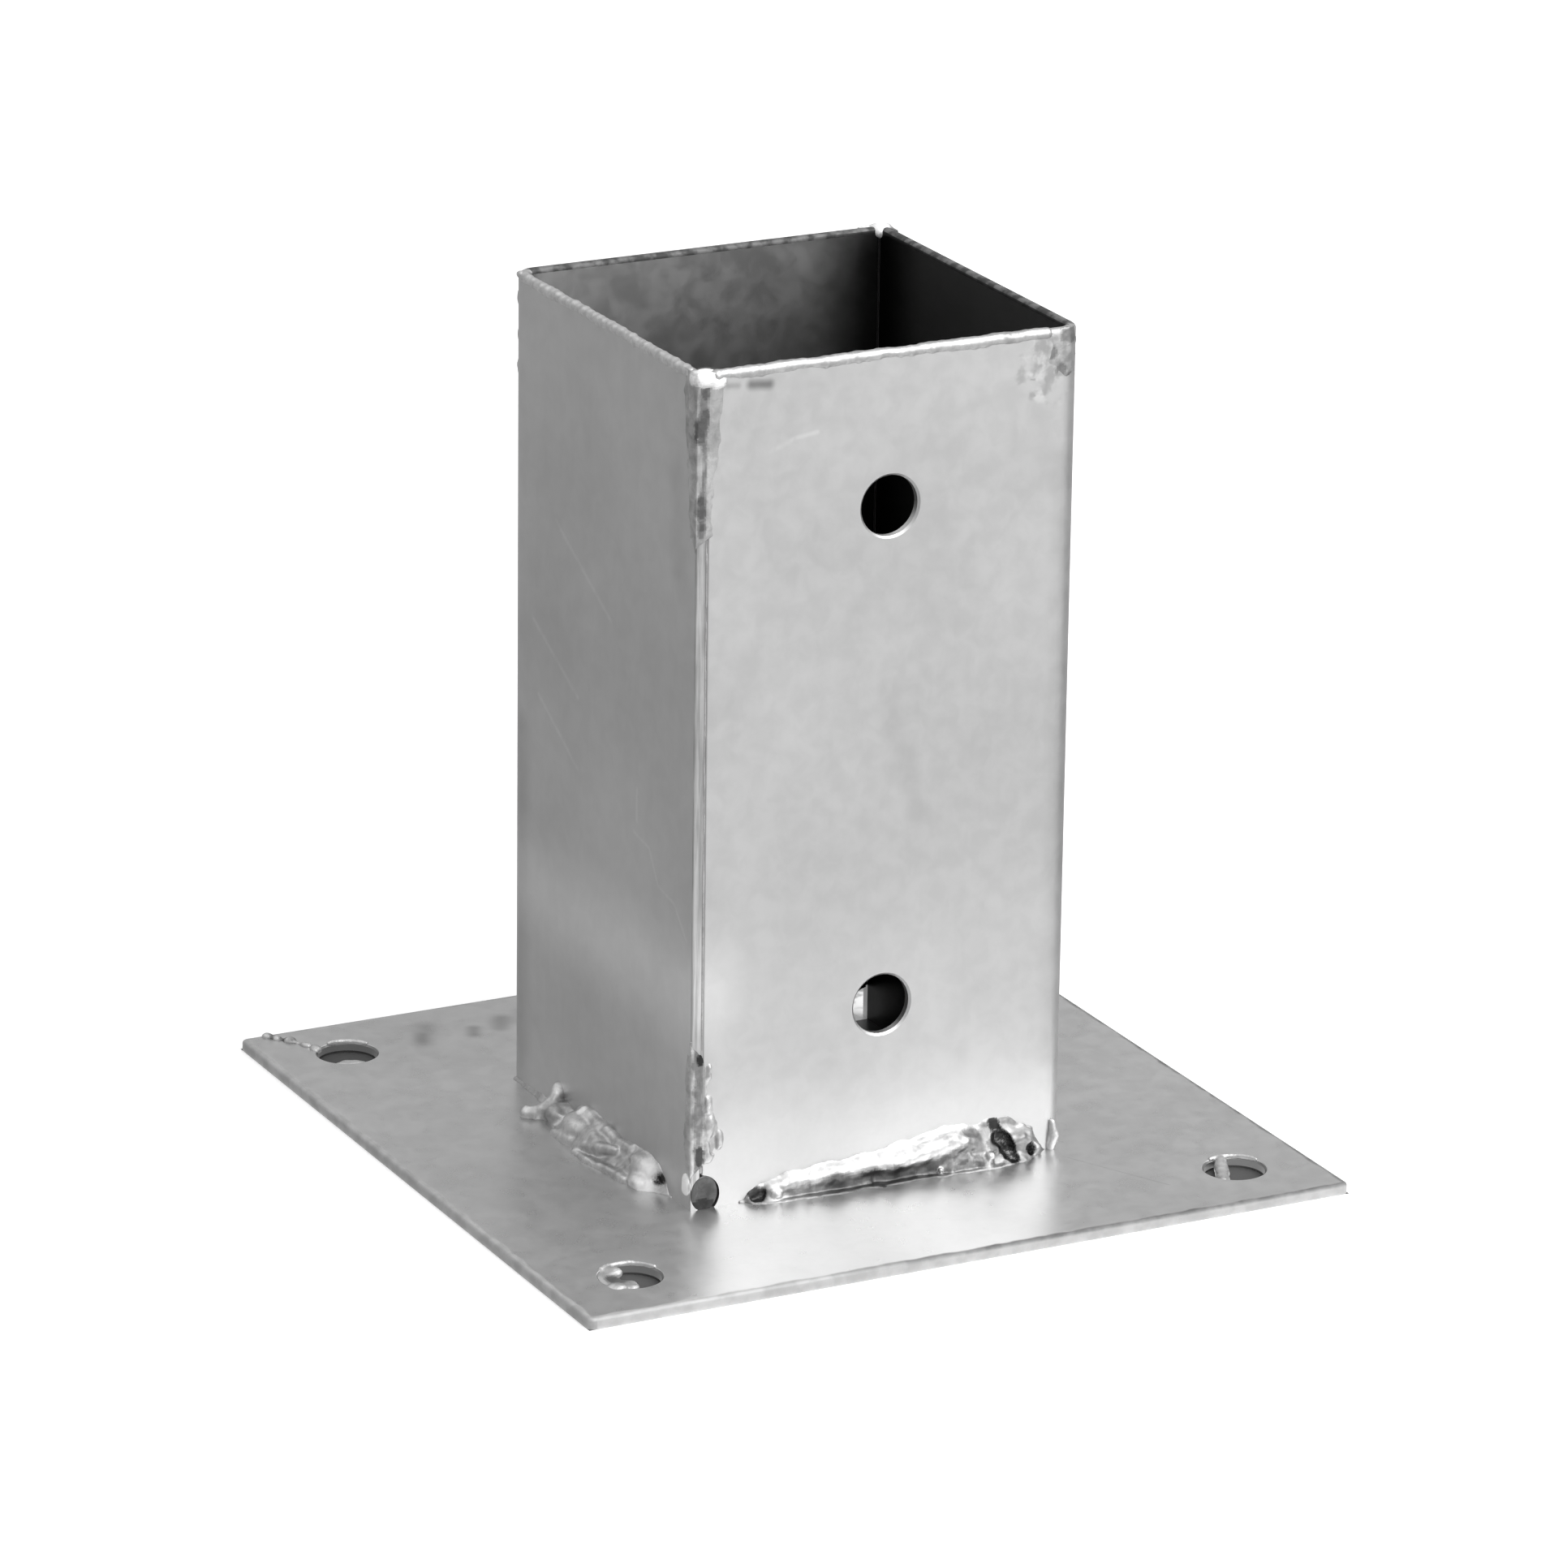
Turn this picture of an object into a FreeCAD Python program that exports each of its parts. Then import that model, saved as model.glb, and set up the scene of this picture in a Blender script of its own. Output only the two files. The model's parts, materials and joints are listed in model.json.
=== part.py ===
"""Bolt-down post anchor: a square base plate with a square sleeve welded upright on it.

The sleeve is two identical sheets, each folded once into an L and set half a turn apart, so two of
its corners are bends and two are open seams. Fillet welds run along the foot of each wall, and short
welds close each seam at the top and at the foot. Lengths are in millimetres. The origin is at the
middle of the plate's underside, +Z is up, and the holed walls face -Y and +Y.
"""
import FreeCAD, Part
import math
import os
import Sketcher

from FreeCAD import Placement, Rotation, Vector

# Driving dimensions, one row each: alias, value, meaning
SIZES = [
    ("plate_side", 150.0, "side of the square base plate"),
    ("plate_thickness", 2.0, "thickness of the base plate"),
    ("plate_corner_radius", 1.2, "radius of the plate's four corners"),
    ("plate_edge_round", 0.6, "rounding of the plate's upper edge"),
    ("hole_bevel", 0.4, "bevel on the edges of every bolt and fixing hole"),
    ("plate_hole_diameter", 11.0, "diameter of the four fixing holes"),
    ("plate_hole_margin", 15.0, "from a fixing hole's centre to the plate's edges"),
    ("sleeve_inner", 71.0, "clear width inside the sleeve"),
    ("sleeve_height", 153.0, "height of the sleeve above the plate"),
    ("wall", 2.0, "thickness of the sleeve's sheets"),
    ("bend_radius", 2.0, "inner radius of the fold in each sheet"),
    ("seam_gap", 0.3, "gap between the two sheets at an open corner"),
    ("rim_round", 0.8, "rounding of the sleeve's upper edges"),
    ("cut_edge_round", 0.3, "rounding of the sheets' upright cut edges"),
    ("bolt_hole_diameter", 11.0, "diameter of the cross bolt holes"),
    ("bolt_hole_low", 33.0, "height of the lower bolt hole's centre above the plate"),
    ("bolt_hole_drop", 28.0, "from the rim down to the upper bolt hole's centre"),
    ("drain_diameter", 7.6, "diameter of the drain notch at the foot of a seam"),
    ("drain_height", 2.6, "height of the drain notch's centre above the plate"),
    ("holed_weld_leg_seam", 3.0, "height of a holed wall's weld at its seam end"),
    ("holed_weld_leg_bend", 6.4, "height of a holed wall's weld at its bend end"),
    ("holed_weld_toe_ratio", 0.8, "width on the plate of that weld, over its height"),
    ("holed_weld_seam_clear", 11.5, "from the seam corner to that weld's end"),
    ("holed_weld_bend_clear", 5.5, "from the bend corner to that weld's end"),
    ("plain_weld_leg_bend", 4.8, "height of a plain wall's weld at its bend end"),
    ("plain_weld_leg_seam", 3.6, "height of a plain wall's weld at its seam end"),
    ("plain_weld_toe_ratio", 1.15, "width on the plate of that weld, over its height"),
    ("plain_weld_bend_clear", 4.5, "from the bend corner to that weld's end"),
    ("plain_weld_seam_clear", 12.0, "from the seam corner to that weld's end"),
    ("ripple_pitch", 3.8, "distance from one weld ripple to the next"),
    ("ripple_depth", 0.3, "how far a weld's ripple swells and sinks"),
    ("seam_weld_top_length", 31.0, "length of a seam's upper weld below the rim"),
    ("seam_weld_foot_length", 23.0, "length of a seam's lower weld"),
    ("seam_weld_rise", 0.6, "how far a seam's upper weld stands above the rim"),
    ("seam_weld_drain_gap", 0.8, "from the drain notch up to the lower seam weld"),
    ("seam_weld_on_holed", 5.4, "width of a seam weld on the holed wall"),
    ("seam_weld_on_plain", 3.8, "width of a seam weld on the plain wall"),
    ("seam_weld_thickness", 0.8, "how far a seam weld stands out"),
]

# Shape of a weld's skin, as shares of its own legs or of its thickness
CROWN = 0.74
END_SHARE = 0.35
SEAM_TAIL_SHARE = 0.45
SEAM_FOOT_SHARE = 0.7
SEAM_SHOULDER_SHARE = 0.45
SEAM_SHOULDER_BULGE = 1.6
SEAM_ARRIS_BULGE = 3.2
SKIN_FLATS = 6

doc = FreeCAD.newDocument("post_anchor")
sheet = doc.addObject("Spreadsheet::Sheet", "sizes")


def fill_sheet():
    for row, (alias, value, meaning) in enumerate(SIZES, start=1):
        sheet.set(f"A{row}", meaning)
        sheet.set(f"B{row}", str(value))
        sheet.setAlias(f"B{row}", alias)
    doc.recompute()


def size(alias):
    return float(sheet.get(alias))


def new_body(label):
    body = doc.addObject("PartDesign::Body", label)
    body.Label = label
    return body


def new_sketch(body, name, role):
    plane = next(item for item in body.Origin.OriginFeatures if item.Role == role)
    sketch = body.newObject("Sketcher::SketchObject", name)
    sketch.AttachmentSupport = [(plane, "")]
    sketch.MapMode = "FlatFace"
    return sketch


def bind(sketch, name, expression, *constraint):
    index = sketch.addConstraint(Sketcher.Constraint(*constraint))
    sketch.renameConstraint(index, name)
    sketch.setExpression("Constraints." + name, expression)


def cut_through(body, sketch, name, reverse=False):
    """Cut the sketch right through the body, and check that material came away."""
    before = body.Shape.Volume
    pocket = body.newObject("PartDesign::Pocket", name)
    pocket.Profile = sketch
    pocket.Type = "ThroughAll"
    pocket.Reversed = reverse
    doc.recompute()
    if not body.Shape.Volume < before:
        raise RuntimeError(name + " cut nothing")
    return pocket


def dress_edges(body, kind, name, alias, wanted):
    """Fillet or chamfer every edge of the body's shape that the test picks."""
    base = body.Tip
    names = [f"Edge{i}" for i, edge in enumerate(base.Shape.Edges, start=1) if wanted(edge)]
    if not names:
        raise RuntimeError(name + " found no edge")
    feature = body.newObject("PartDesign::" + kind, name)
    feature.Base = (base, names)
    feature.setExpression("Radius" if kind == "Fillet" else "Size", "sizes." + alias)
    doc.recompute()


def near(value, target):
    return abs(value - target) < 0.001


def is_upright(edge):
    return isinstance(edge.Curve, Part.Line) and near(abs(edge.Curve.Direction.z), 1.0)


def is_at_height(edge, height):
    return near(edge.BoundBox.ZMin, height) and near(edge.BoundBox.ZMax, height)


def is_circle(edge, diameter):
    return isinstance(edge.Curve, Part.Circle) and near(edge.Curve.Radius, diameter / 2)


# Base plate

def plate_outline(body):
    sketch = new_sketch(body, "plate_outline", "XY_Plane")
    half = size("plate_side") / 2
    corners = [Vector(-half, -half), Vector(half, -half), Vector(half, half), Vector(-half, half)]
    for i in range(4):
        sketch.addGeometry(Part.LineSegment(corners[i], corners[(i + 1) % 4]))
    for i in range(4):
        sketch.addConstraint(Sketcher.Constraint("Coincident", i, 2, (i + 1) % 4, 1))
    for i in (0, 2):
        sketch.addConstraint(Sketcher.Constraint("Horizontal", i))
    for i in (1, 3):
        sketch.addConstraint(Sketcher.Constraint("Vertical", i))
    sketch.addConstraint(Sketcher.Constraint("Symmetric", 0, 1, 2, 1, -1, 1))
    bind(sketch, "width", "sizes.plate_side", "DistanceX", 0, 1, 0, 2, 2 * half)
    bind(sketch, "depth", "sizes.plate_side", "DistanceY", 1, 1, 1, 2, 2 * half)
    return sketch


def plate_hole(body):
    sketch = new_sketch(body, "fixing_hole", "XY_Plane")
    place = size("plate_side") / 2 - size("plate_hole_margin")
    sketch.addGeometry(Part.Circle(Vector(place, place), Vector(0, 0, 1), size("plate_hole_diameter") / 2))
    inset = "sizes.plate_side / 2 - sizes.plate_hole_margin"
    bind(sketch, "across", inset, "DistanceX", -1, 1, 0, 3, place)
    bind(sketch, "along", inset, "DistanceY", -1, 1, 0, 3, place)
    bind(sketch, "diameter", "sizes.plate_hole_diameter", "Diameter", 0, size("plate_hole_diameter"))
    return sketch


def make_base_plate():
    body = new_body("base_plate")
    pad = body.newObject("PartDesign::Pad", "plate")
    pad.Profile = plate_outline(body)
    pad.setExpression("Length", "sizes.plate_thickness")
    doc.recompute()
    pocket = cut_through(body, plate_hole(body), "fixing_hole_cut", reverse=True)
    holes = body.newObject("PartDesign::PolarPattern", "fixing_holes")
    holes.Originals = [pocket]
    holes.Axis = (next(item for item in body.Origin.OriginFeatures if item.Role == "Z_Axis"), [""])
    holes.Angle = 360
    holes.Occurrences = 4
    body.Tip = holes
    doc.recompute()
    half, top, hole = size("plate_side") / 2, size("plate_thickness"), size("plate_hole_diameter")

    def is_corner(edge):
        """A corner of the plate, and not the seam line inside a hole."""
        centre = edge.BoundBox.Center
        return is_upright(edge) and near(abs(centre.x), half) and near(abs(centre.y), half)

    def is_outline(edge):
        return is_at_height(edge, top) and not is_circle(edge, hole)

    def is_hole_rim(edge):
        return is_at_height(edge, top) and is_circle(edge, hole)

    dress_edges(body, "Fillet", "plate_corners", "plate_corner_radius", is_corner)
    dress_edges(body, "Fillet", "plate_upper_edge", "plate_edge_round", is_outline)
    dress_edges(body, "Chamfer", "fixing_hole_rims", "hole_bevel", is_hole_rim)


# Folded sheets of the sleeve

def folded_profile(body):
    """The L in plan: front wall from the open seam to the bend, then the side wall up to its cut edge."""
    sketch = new_sketch(body, "folded_profile", "XY_Plane")
    wall, radius = size("wall"), size("bend_radius")
    inner = size("sleeve_inner") / 2
    outer = inner + wall
    free_end = -inner + size("seam_gap")
    centre = Vector(inner - radius, -inner + radius)
    lines = {
        0: (Vector(free_end, -outer), Vector(centre.x, -outer)),
        2: (Vector(outer, centre.y), Vector(outer, outer)),
        3: (Vector(outer, outer), Vector(inner, outer)),
        4: (Vector(inner, outer), Vector(inner, centre.y)),
        6: (Vector(centre.x, -inner), Vector(free_end, -inner)),
        7: (Vector(free_end, -inner), Vector(free_end, -outer)),
    }
    arcs = {1: radius + wall, 5: radius}
    quarter = (-math.pi / 2, 0)
    for i in range(8):
        if i in arcs:
            circle = Part.Circle(centre, Vector(0, 0, 1), arcs[i])
            sketch.addGeometry(Part.ArcOfCircle(circle, *quarter))
        else:
            sketch.addGeometry(Part.LineSegment(*lines[i]))
    for first, first_end, second, second_end in ((0, 2, 1, 1), (1, 2, 2, 1), (4, 2, 5, 2), (5, 1, 6, 1)):
        sketch.addConstraint(Sketcher.Constraint("Tangent", first, first_end, second, second_end))
    for first, second in ((2, 3), (3, 4), (6, 7), (7, 0)):
        sketch.addConstraint(Sketcher.Constraint("Coincident", first, 2, second, 1))
    sketch.addConstraint(Sketcher.Constraint("Coincident", 1, 3, 5, 3))
    for i in (0, 3, 6):
        sketch.addConstraint(Sketcher.Constraint("Horizontal", i))
    for i in (2, 4, 7):
        sketch.addConstraint(Sketcher.Constraint("Vertical", i))
    half_outer = "sizes.sleeve_inner / 2 + sizes.wall"
    bind(sketch, "side_face", half_outer, "DistanceX", -1, 1, 2, 2, outer)
    bind(sketch, "cut_edge", half_outer, "DistanceY", -1, 1, 2, 2, outer)
    bind(sketch, "front_face", half_outer, "DistanceY", 0, 1, -1, 1, outer)
    bind(sketch, "free_end", "sizes.sleeve_inner / 2 - sizes.seam_gap", "DistanceX", 0, 1, -1, 1, -free_end)
    bind(sketch, "wall", "sizes.wall", "DistanceX", 3, 2, 3, 1, wall)
    bind(sketch, "bend", "sizes.bend_radius", "Radius", 5, radius)
    return sketch


def front_wall_holes(body):
    """Two bolt holes on the wall's centre line, and the drain notch on the seam."""
    sketch = new_sketch(body, "front_wall_holes", "XZ_Plane")
    bolt, drain = size("bolt_hole_diameter"), size("drain_diameter")
    low, high = size("bolt_hole_low"), size("sleeve_height") - size("bolt_hole_drop")
    seam = size("sleeve_inner") / 2
    circles = ((0, low, bolt), (0, high, bolt), (-seam, size("drain_height"), drain))
    for x, z, diameter in circles:
        sketch.addGeometry(Part.Circle(Vector(x, z), Vector(0, 0, 1), diameter / 2))
    for i in (0, 1):
        sketch.addConstraint(Sketcher.Constraint("PointOnObject", i, 3, -2))
    bind(sketch, "low", "sizes.bolt_hole_low", "DistanceY", -1, 1, 0, 3, low)
    bind(sketch, "high", "sizes.sleeve_height - sizes.bolt_hole_drop", "DistanceY", -1, 1, 1, 3, high)
    bind(sketch, "bolt", "sizes.bolt_hole_diameter", "Diameter", 0, bolt)
    sketch.addConstraint(Sketcher.Constraint("Equal", 0, 1))
    bind(sketch, "seam", "sizes.sleeve_inner / 2", "DistanceX", 2, 3, -1, 1, seam)
    bind(sketch, "drain_up", "sizes.drain_height", "DistanceY", -1, 1, 2, 3, size("drain_height"))
    bind(sketch, "drain", "sizes.drain_diameter", "Diameter", 2, drain)
    return sketch


def make_sleeve_sheet(label, turn):
    """One folded sheet, standing on the plate, turned about the sleeve's axis."""
    body = new_body(label)
    pad = body.newObject("PartDesign::Pad", "sheet")
    pad.Profile = folded_profile(body)
    pad.setExpression("Length", "sizes.sleeve_height")
    doc.recompute()
    cut_through(body, front_wall_holes(body), "front_wall_cut", reverse=True)
    outer = size("sleeve_inner") / 2 + size("wall")
    free_end = -size("sleeve_inner") / 2 + size("seam_gap")
    bolt, height = size("bolt_hole_diameter"), size("sleeve_height")

    def is_bolt_hole(edge):
        return near(edge.BoundBox.Center.x, 0) and is_circle(edge, bolt)

    def is_cut_edge(edge):
        box = edge.BoundBox
        return is_upright(edge) and (near(box.XMin, free_end) or near(box.YMax, outer))

    dress_edges(body, "Chamfer", "bolt_hole_edges", "hole_bevel", is_bolt_hole)
    dress_edges(body, "Fillet", "cut_edges", "cut_edge_round", is_cut_edge)
    dress_edges(body, "Fillet", "rim_edges", "rim_round", lambda edge: is_at_height(edge, height))
    body.Placement = Placement(Vector(0, 0, size("plate_thickness")), Rotation(Vector(0, 0, 1), turn))
    body.setExpression("Placement.Base.z", "sizes.plate_thickness")


# Welds

def weld_stations(start, end):
    """Places along a weld, half a ripple apart, each with whether it is a crest or a hollow."""
    count = max(4, round((end - start) / (size("ripple_pitch") / 2)))
    return [(i / count, start + (end - start) * i / count, 1 if i % 2 else -1) for i in range(count + 1)]


def blend(first, last, share):
    return first + (last - first) * share


def end_taper(distance):
    """A weld rounds down over one ripple at each end. The distance is to its nearer end."""
    near_end = min(1.0, distance / size("ripple_pitch"))
    return blend(END_SHARE, 1.0, math.sin(near_end * math.pi / 2))


def section_outline(poles):
    """A weld's full-size section about its corner: the crowned skin in flats, closed at the corner."""
    skin = Part.BezierCurve()
    skin.setPoles(poles)
    flats = [skin.value(i / SKIN_FLATS) for i in range(SKIN_FLATS + 1)]
    corner = Vector(0, 0, 0)
    return [corner, *flats, corner]


def flat_face(face):
    """The same face as a plane through its corners."""
    corners = [vertex.Point for vertex in face.OuterWire.OrderedVertexes]
    return Part.Face(Part.makePolygon([*corners, corners[0]]))


def add_weld(label, outline, stations, placement):
    """Loft the outline along its corner. Each station is a place there and the outline's scale at it.

    Every section is the same shape at another scale, so each face of the loft is flat and is made a plane.
    """
    sections = []
    for place, scale in stations:
        sections.append(Part.makePolygon([place + point * scale for point in outline]))
    loft = Part.makeLoft(sections, True, True)
    skin = Part.Shell([flat_face(face) for face in loft.Faces])
    skin.sewShape()
    weld = doc.addObject("Part::Feature", label)
    weld.Label = label
    weld.Shape = Part.Solid(skin).removeSplitter()
    weld.Placement = placement


def make_foot_weld(label, turn, wall_kind, start, end, first_leg, last_leg):
    """Fillet weld along one wall's foot. It starts and ends at these distances from the wall's ends."""
    half = size("sleeve_inner") / 2 + size("wall")
    toe = size(wall_kind + "_weld_toe_ratio")
    outline = section_outline([Vector(0, -toe, 0), Vector(0, -toe * CROWN, CROWN), Vector(0, 0, 1)])
    stations = []
    for share, along, crest in weld_stations(start - half, half - end):
        taper = end_taper(min(along + half - start, half - end - along))
        leg = blend(first_leg, last_leg, share) + crest * size("ripple_depth")
        stations.append((Vector(along, 0, 0), leg * taper))
    rotation = Rotation(Vector(0, 0, 1), turn)
    foot = rotation.multVec(Vector(0, -half, 0)) + Vector(0, 0, size("plate_thickness"))
    add_weld(label, outline, stations, Placement(foot, rotation))


def seam_weld_outline():
    """Wraps the open corner: along the holed wall on +X, round the arris, along the plain wall on +Y."""
    on_holed, on_plain = size("seam_weld_on_holed"), size("seam_weld_on_plain")
    shoulder = SEAM_SHOULDER_BULGE * size("seam_weld_thickness")
    arris = SEAM_ARRIS_BULGE * size("seam_weld_thickness")
    return section_outline([
        Vector(on_holed, 0, 0),
        Vector(on_holed * SEAM_SHOULDER_SHARE, -shoulder, 0),
        Vector(-arris, -arris, 0),
        Vector(-shoulder, on_plain * SEAM_SHOULDER_SHARE, 0),
        Vector(0, on_plain, 0),
    ])


def make_seam_weld(label, turn, low, high, low_share, high_share):
    """Weld over an open corner. The shares say how wide it is at its lower and its upper end."""
    half = size("sleeve_inner") / 2 + size("wall")
    ripple = size("ripple_depth") / size("seam_weld_on_holed")
    stations = []
    for share, up, crest in weld_stations(low, high):
        stations.append((Vector(0, 0, up), blend(low_share, high_share, share) + crest * ripple))
    rotation = Rotation(Vector(0, 0, 1), turn)
    corner = rotation.multVec(Vector(-half, -half, 0)) + Vector(0, 0, size("plate_thickness"))
    add_weld(label, seam_weld_outline(), stations, Placement(corner, rotation))


def make_foot_welds():
    """Each weld runs from left to right as its wall is seen from outside."""
    holed = ("holed", size("holed_weld_seam_clear"), size("holed_weld_bend_clear"),
             size("holed_weld_leg_seam"), size("holed_weld_leg_bend"))
    plain = ("plain", size("plain_weld_bend_clear"), size("plain_weld_seam_clear"),
             size("plain_weld_leg_bend"), size("plain_weld_leg_seam"))
    make_foot_weld("foot_weld_front", 0, *holed)
    make_foot_weld("foot_weld_back", 180, *holed)
    make_foot_weld("foot_weld_left", -90, *plain)
    make_foot_weld("foot_weld_right", 90, *plain)


def make_seam_welds():
    rim = size("sleeve_height")
    top = (rim - size("seam_weld_top_length"), rim + size("seam_weld_rise"))
    drain_top = size("drain_height") + size("drain_diameter") / 2
    foot_start = drain_top + size("seam_weld_drain_gap")
    foot = (foot_start, foot_start + size("seam_weld_foot_length"))
    for corner, turn in (("near", 0), ("far", 180)):
        make_seam_weld(f"seam_weld_{corner}_top", turn, *top, SEAM_TAIL_SHARE, 1.0)
        make_seam_weld(f"seam_weld_{corner}_foot", turn, *foot, SEAM_FOOT_SHARE, SEAM_TAIL_SHARE)


def sub_parts():
    kinds = ("PartDesign::Body", "Part::Feature")
    return [item for item in doc.Objects if item.TypeId in kinds]


def check_and_write():
    doc.recompute()
    for item in doc.Objects:
        if "Invalid" in item.State or "Error" in item.State:
            raise RuntimeError(item.Name + " failed to build")
    os.makedirs("parts", exist_ok=True)
    for item in sub_parts():
        shape = item.Shape
        if shape.isNull() or not shape.isValid() or len(shape.Solids) != 1:
            raise RuntimeError(item.Label + " is not one valid solid")
    for item in sub_parts():
        item.Shape.exportStep(f"parts/{item.Label}.step")


fill_sheet()
make_base_plate()
make_sleeve_sheet("sleeve_sheet_front", 0)
make_sleeve_sheet("sleeve_sheet_back", 180)
make_foot_welds()
make_seam_welds()
check_and_write()
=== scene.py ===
"""Looks of a hot-dip galvanised post anchor: dull zinc on folded sheet, a flat plate and rough welds.

Lengths are in metres, in the part's own frame: the origin is at the middle of the plate's underside,
+Z is up, and the holed walls face -Y and +Y.
"""

import json
import math

import bpy
import numpy as np
from mathutils import Matrix, Vector

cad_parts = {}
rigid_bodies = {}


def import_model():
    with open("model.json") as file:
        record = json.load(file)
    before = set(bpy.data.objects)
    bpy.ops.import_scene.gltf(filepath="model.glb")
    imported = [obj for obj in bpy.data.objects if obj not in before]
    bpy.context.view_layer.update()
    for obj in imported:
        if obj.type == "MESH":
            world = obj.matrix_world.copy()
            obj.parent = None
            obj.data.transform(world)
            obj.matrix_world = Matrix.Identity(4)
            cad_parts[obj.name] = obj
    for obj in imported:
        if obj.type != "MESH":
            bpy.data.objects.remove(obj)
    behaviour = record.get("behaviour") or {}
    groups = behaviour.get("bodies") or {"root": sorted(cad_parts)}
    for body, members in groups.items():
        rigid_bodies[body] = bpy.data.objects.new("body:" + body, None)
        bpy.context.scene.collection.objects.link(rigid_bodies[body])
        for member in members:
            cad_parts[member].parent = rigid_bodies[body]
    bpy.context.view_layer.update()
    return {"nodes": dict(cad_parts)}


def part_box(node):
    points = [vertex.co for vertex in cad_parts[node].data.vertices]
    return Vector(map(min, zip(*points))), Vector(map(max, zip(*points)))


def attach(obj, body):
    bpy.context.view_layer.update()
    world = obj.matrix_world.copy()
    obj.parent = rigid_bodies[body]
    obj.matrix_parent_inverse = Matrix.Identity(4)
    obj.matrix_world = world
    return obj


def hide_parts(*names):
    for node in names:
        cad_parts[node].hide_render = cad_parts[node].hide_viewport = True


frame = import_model()

# Camera, as the photograph was taken
CAMERA_AZIMUTH = -27.07
CAMERA_ELEVATION = 18.84
CAMERA_ROLL = 0.765
CAMERA_DISTANCE = 1.5154
CAMERA_RISE = 0.06105
CAMERA_LENS = 191.43

# Studio: strengths by height of the view, and the card's by degrees round the part from +X
SKY_TONES = ((0.3, 0.5), (0.4, 0.62), (0.6, 0.95), (1.0, 1.15))
BRIGHT_SIDE = (0.43, -0.84, 0.33)
BRIGHT_LIFT = 0.62
CARD_RADIUS = 3.5
CARD_HEIGHT = 0.0004
CARD_TONES = ((-180, 0.42), (-115, 0.5), (-92, 0.81), (-50, 0.8), (-15, 0.36), (70, 0.37), (104, 0.42),
              (116, 0.36), (160, 0.36), (180, 0.42))
CARD_NEAR_REACH = (0.1, 0.26)
CARD_NEAR_LIFT = 1.08
FLOOR_SIDE = 12.0
FLOOR_TONE = 0.8
FLOOR_LIFT = 0.35
# Painted shade on the floor under the plate
UNDER_PLATE_SHADE = 0.1
KEY_PLACE = (0.55, -0.75, 0.95)
KEY_TARGET = (0, 0, 0.06)
KEY_SIDE = 1.6
KEY_POWER = 16.0

# The part's own sizes, in metres, or in millimetres where the name says so
MM = 0.001
SOCKET_HALF = 0.0355
RIM_HEIGHT = 0.155
RIM_ROUND = 0.0009
BEND_START_MM = 33.5
BEND_RADIUS_MM = 4.0
PLATE_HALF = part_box("base_plate")[1][0]
PLATE_TOP_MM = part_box("base_plate")[1][2] / MM
SLEEVE_HALF_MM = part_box("sleeve_sheet_front")[1][0] / MM
SLEEVE_TOP_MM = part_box("sleeve_sheet_front")[1][2] / MM

# Zinc: plain on the plate and the sheets, white where a highlight is painted, and dull on rims and edges
PLATE_TONE = 0.64
PLATE_ROUGHNESS = 0.30
SHEET_TONE = 0.62
SHEET_ROUGHNESS = 0.36
ZINC_METALLIC = 0.9
HIGHLIGHT_TONE = 0.97
HIGHLIGHT_METALLIC = 0.1
DULL_ROUGHNESS = 0.6
DULL_METALLIC = 0.4

# Where the zinc is darker and duller, and by which share of its own tone: painted shade inside the sleeve, on
# the plate under it, in the plate's holes and on the plate's edge, and a painted highlight at the drain notch
FACE_SLACK = 0.0001
INSIDE_SHADE_TONES = (0.97, 0.82)
INSIDE_RIGHT_SHADE = 0.17
INSIDE_SHADE_HEIGHT = 0.03
DEEP_SHADE_TONE = 0.1
FAR_CORNER_SHADE_REACH = (0.001, 0.018)
FAR_CORNER_SHADE_TONE = 0.09
FAR_RIM_TONES = (0.08, 0.3)
CUT_EDGE_DEPTH = 0.0003
CUT_EDGE_TONES = (0.6, 0.95)
HOLE_WALL_SHADE = 0.4
# Painted shade on the plate's outer edge: its sides, and its rounded top, darker towards +X
PLATE_EDGE_WIDTH = 0.0009
PLATE_SIDE_SHADES = (0.88, 0.7)
PLATE_UPPER_SHADE_SPAN = (-0.035, 0.005)
PLATE_UPPER_SHADES = (0.72, 0.32)
PLATE_LEFT_SHADE = 0.72
# A painted highlight, white, on the plate at the far drain notch
DRAIN_HIGHLIGHT_MM = (40.5, 42, 7.2)
CORNER_SPOT_MM = (31.5, 149, 7)

# Handling marks, and on the sheets also broad bands of painted light and shade: points in mm, half width in
# mm and change of tone
SHEET_MARKS = (
    (((-37.5, 18.6, 113.5), (-37.5, -4.5, 101.2)), 0.8, 0.06),
    (((-37.5, 27.6, 92.5), (-37.5, 9.2, 83.3)), 0.8, 0.06),
    (((-37.5, 25.4, 79), (-37.5, 9.1, 69.9)), 0.8, 0.06),
    (((-37.5, -15, 73.5), (-37.5, -15.1, 67.8)), 0.7, 0.07),
    (((-37.5, -13.8, 65.4), (-37.5, -20.1, 64.2), (-37.5, -23.7, 58.4), (-37.5, -30.2, 57.1),
      (-37.5, -35.2, 51.8)), 0.6, 0.06),
    (((-23.2, -37.5, 139.7), (-18.9, -37.5, 141.5), (-14.4, -37.5, 142.1)), 0.7, 0.09),
)
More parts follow.
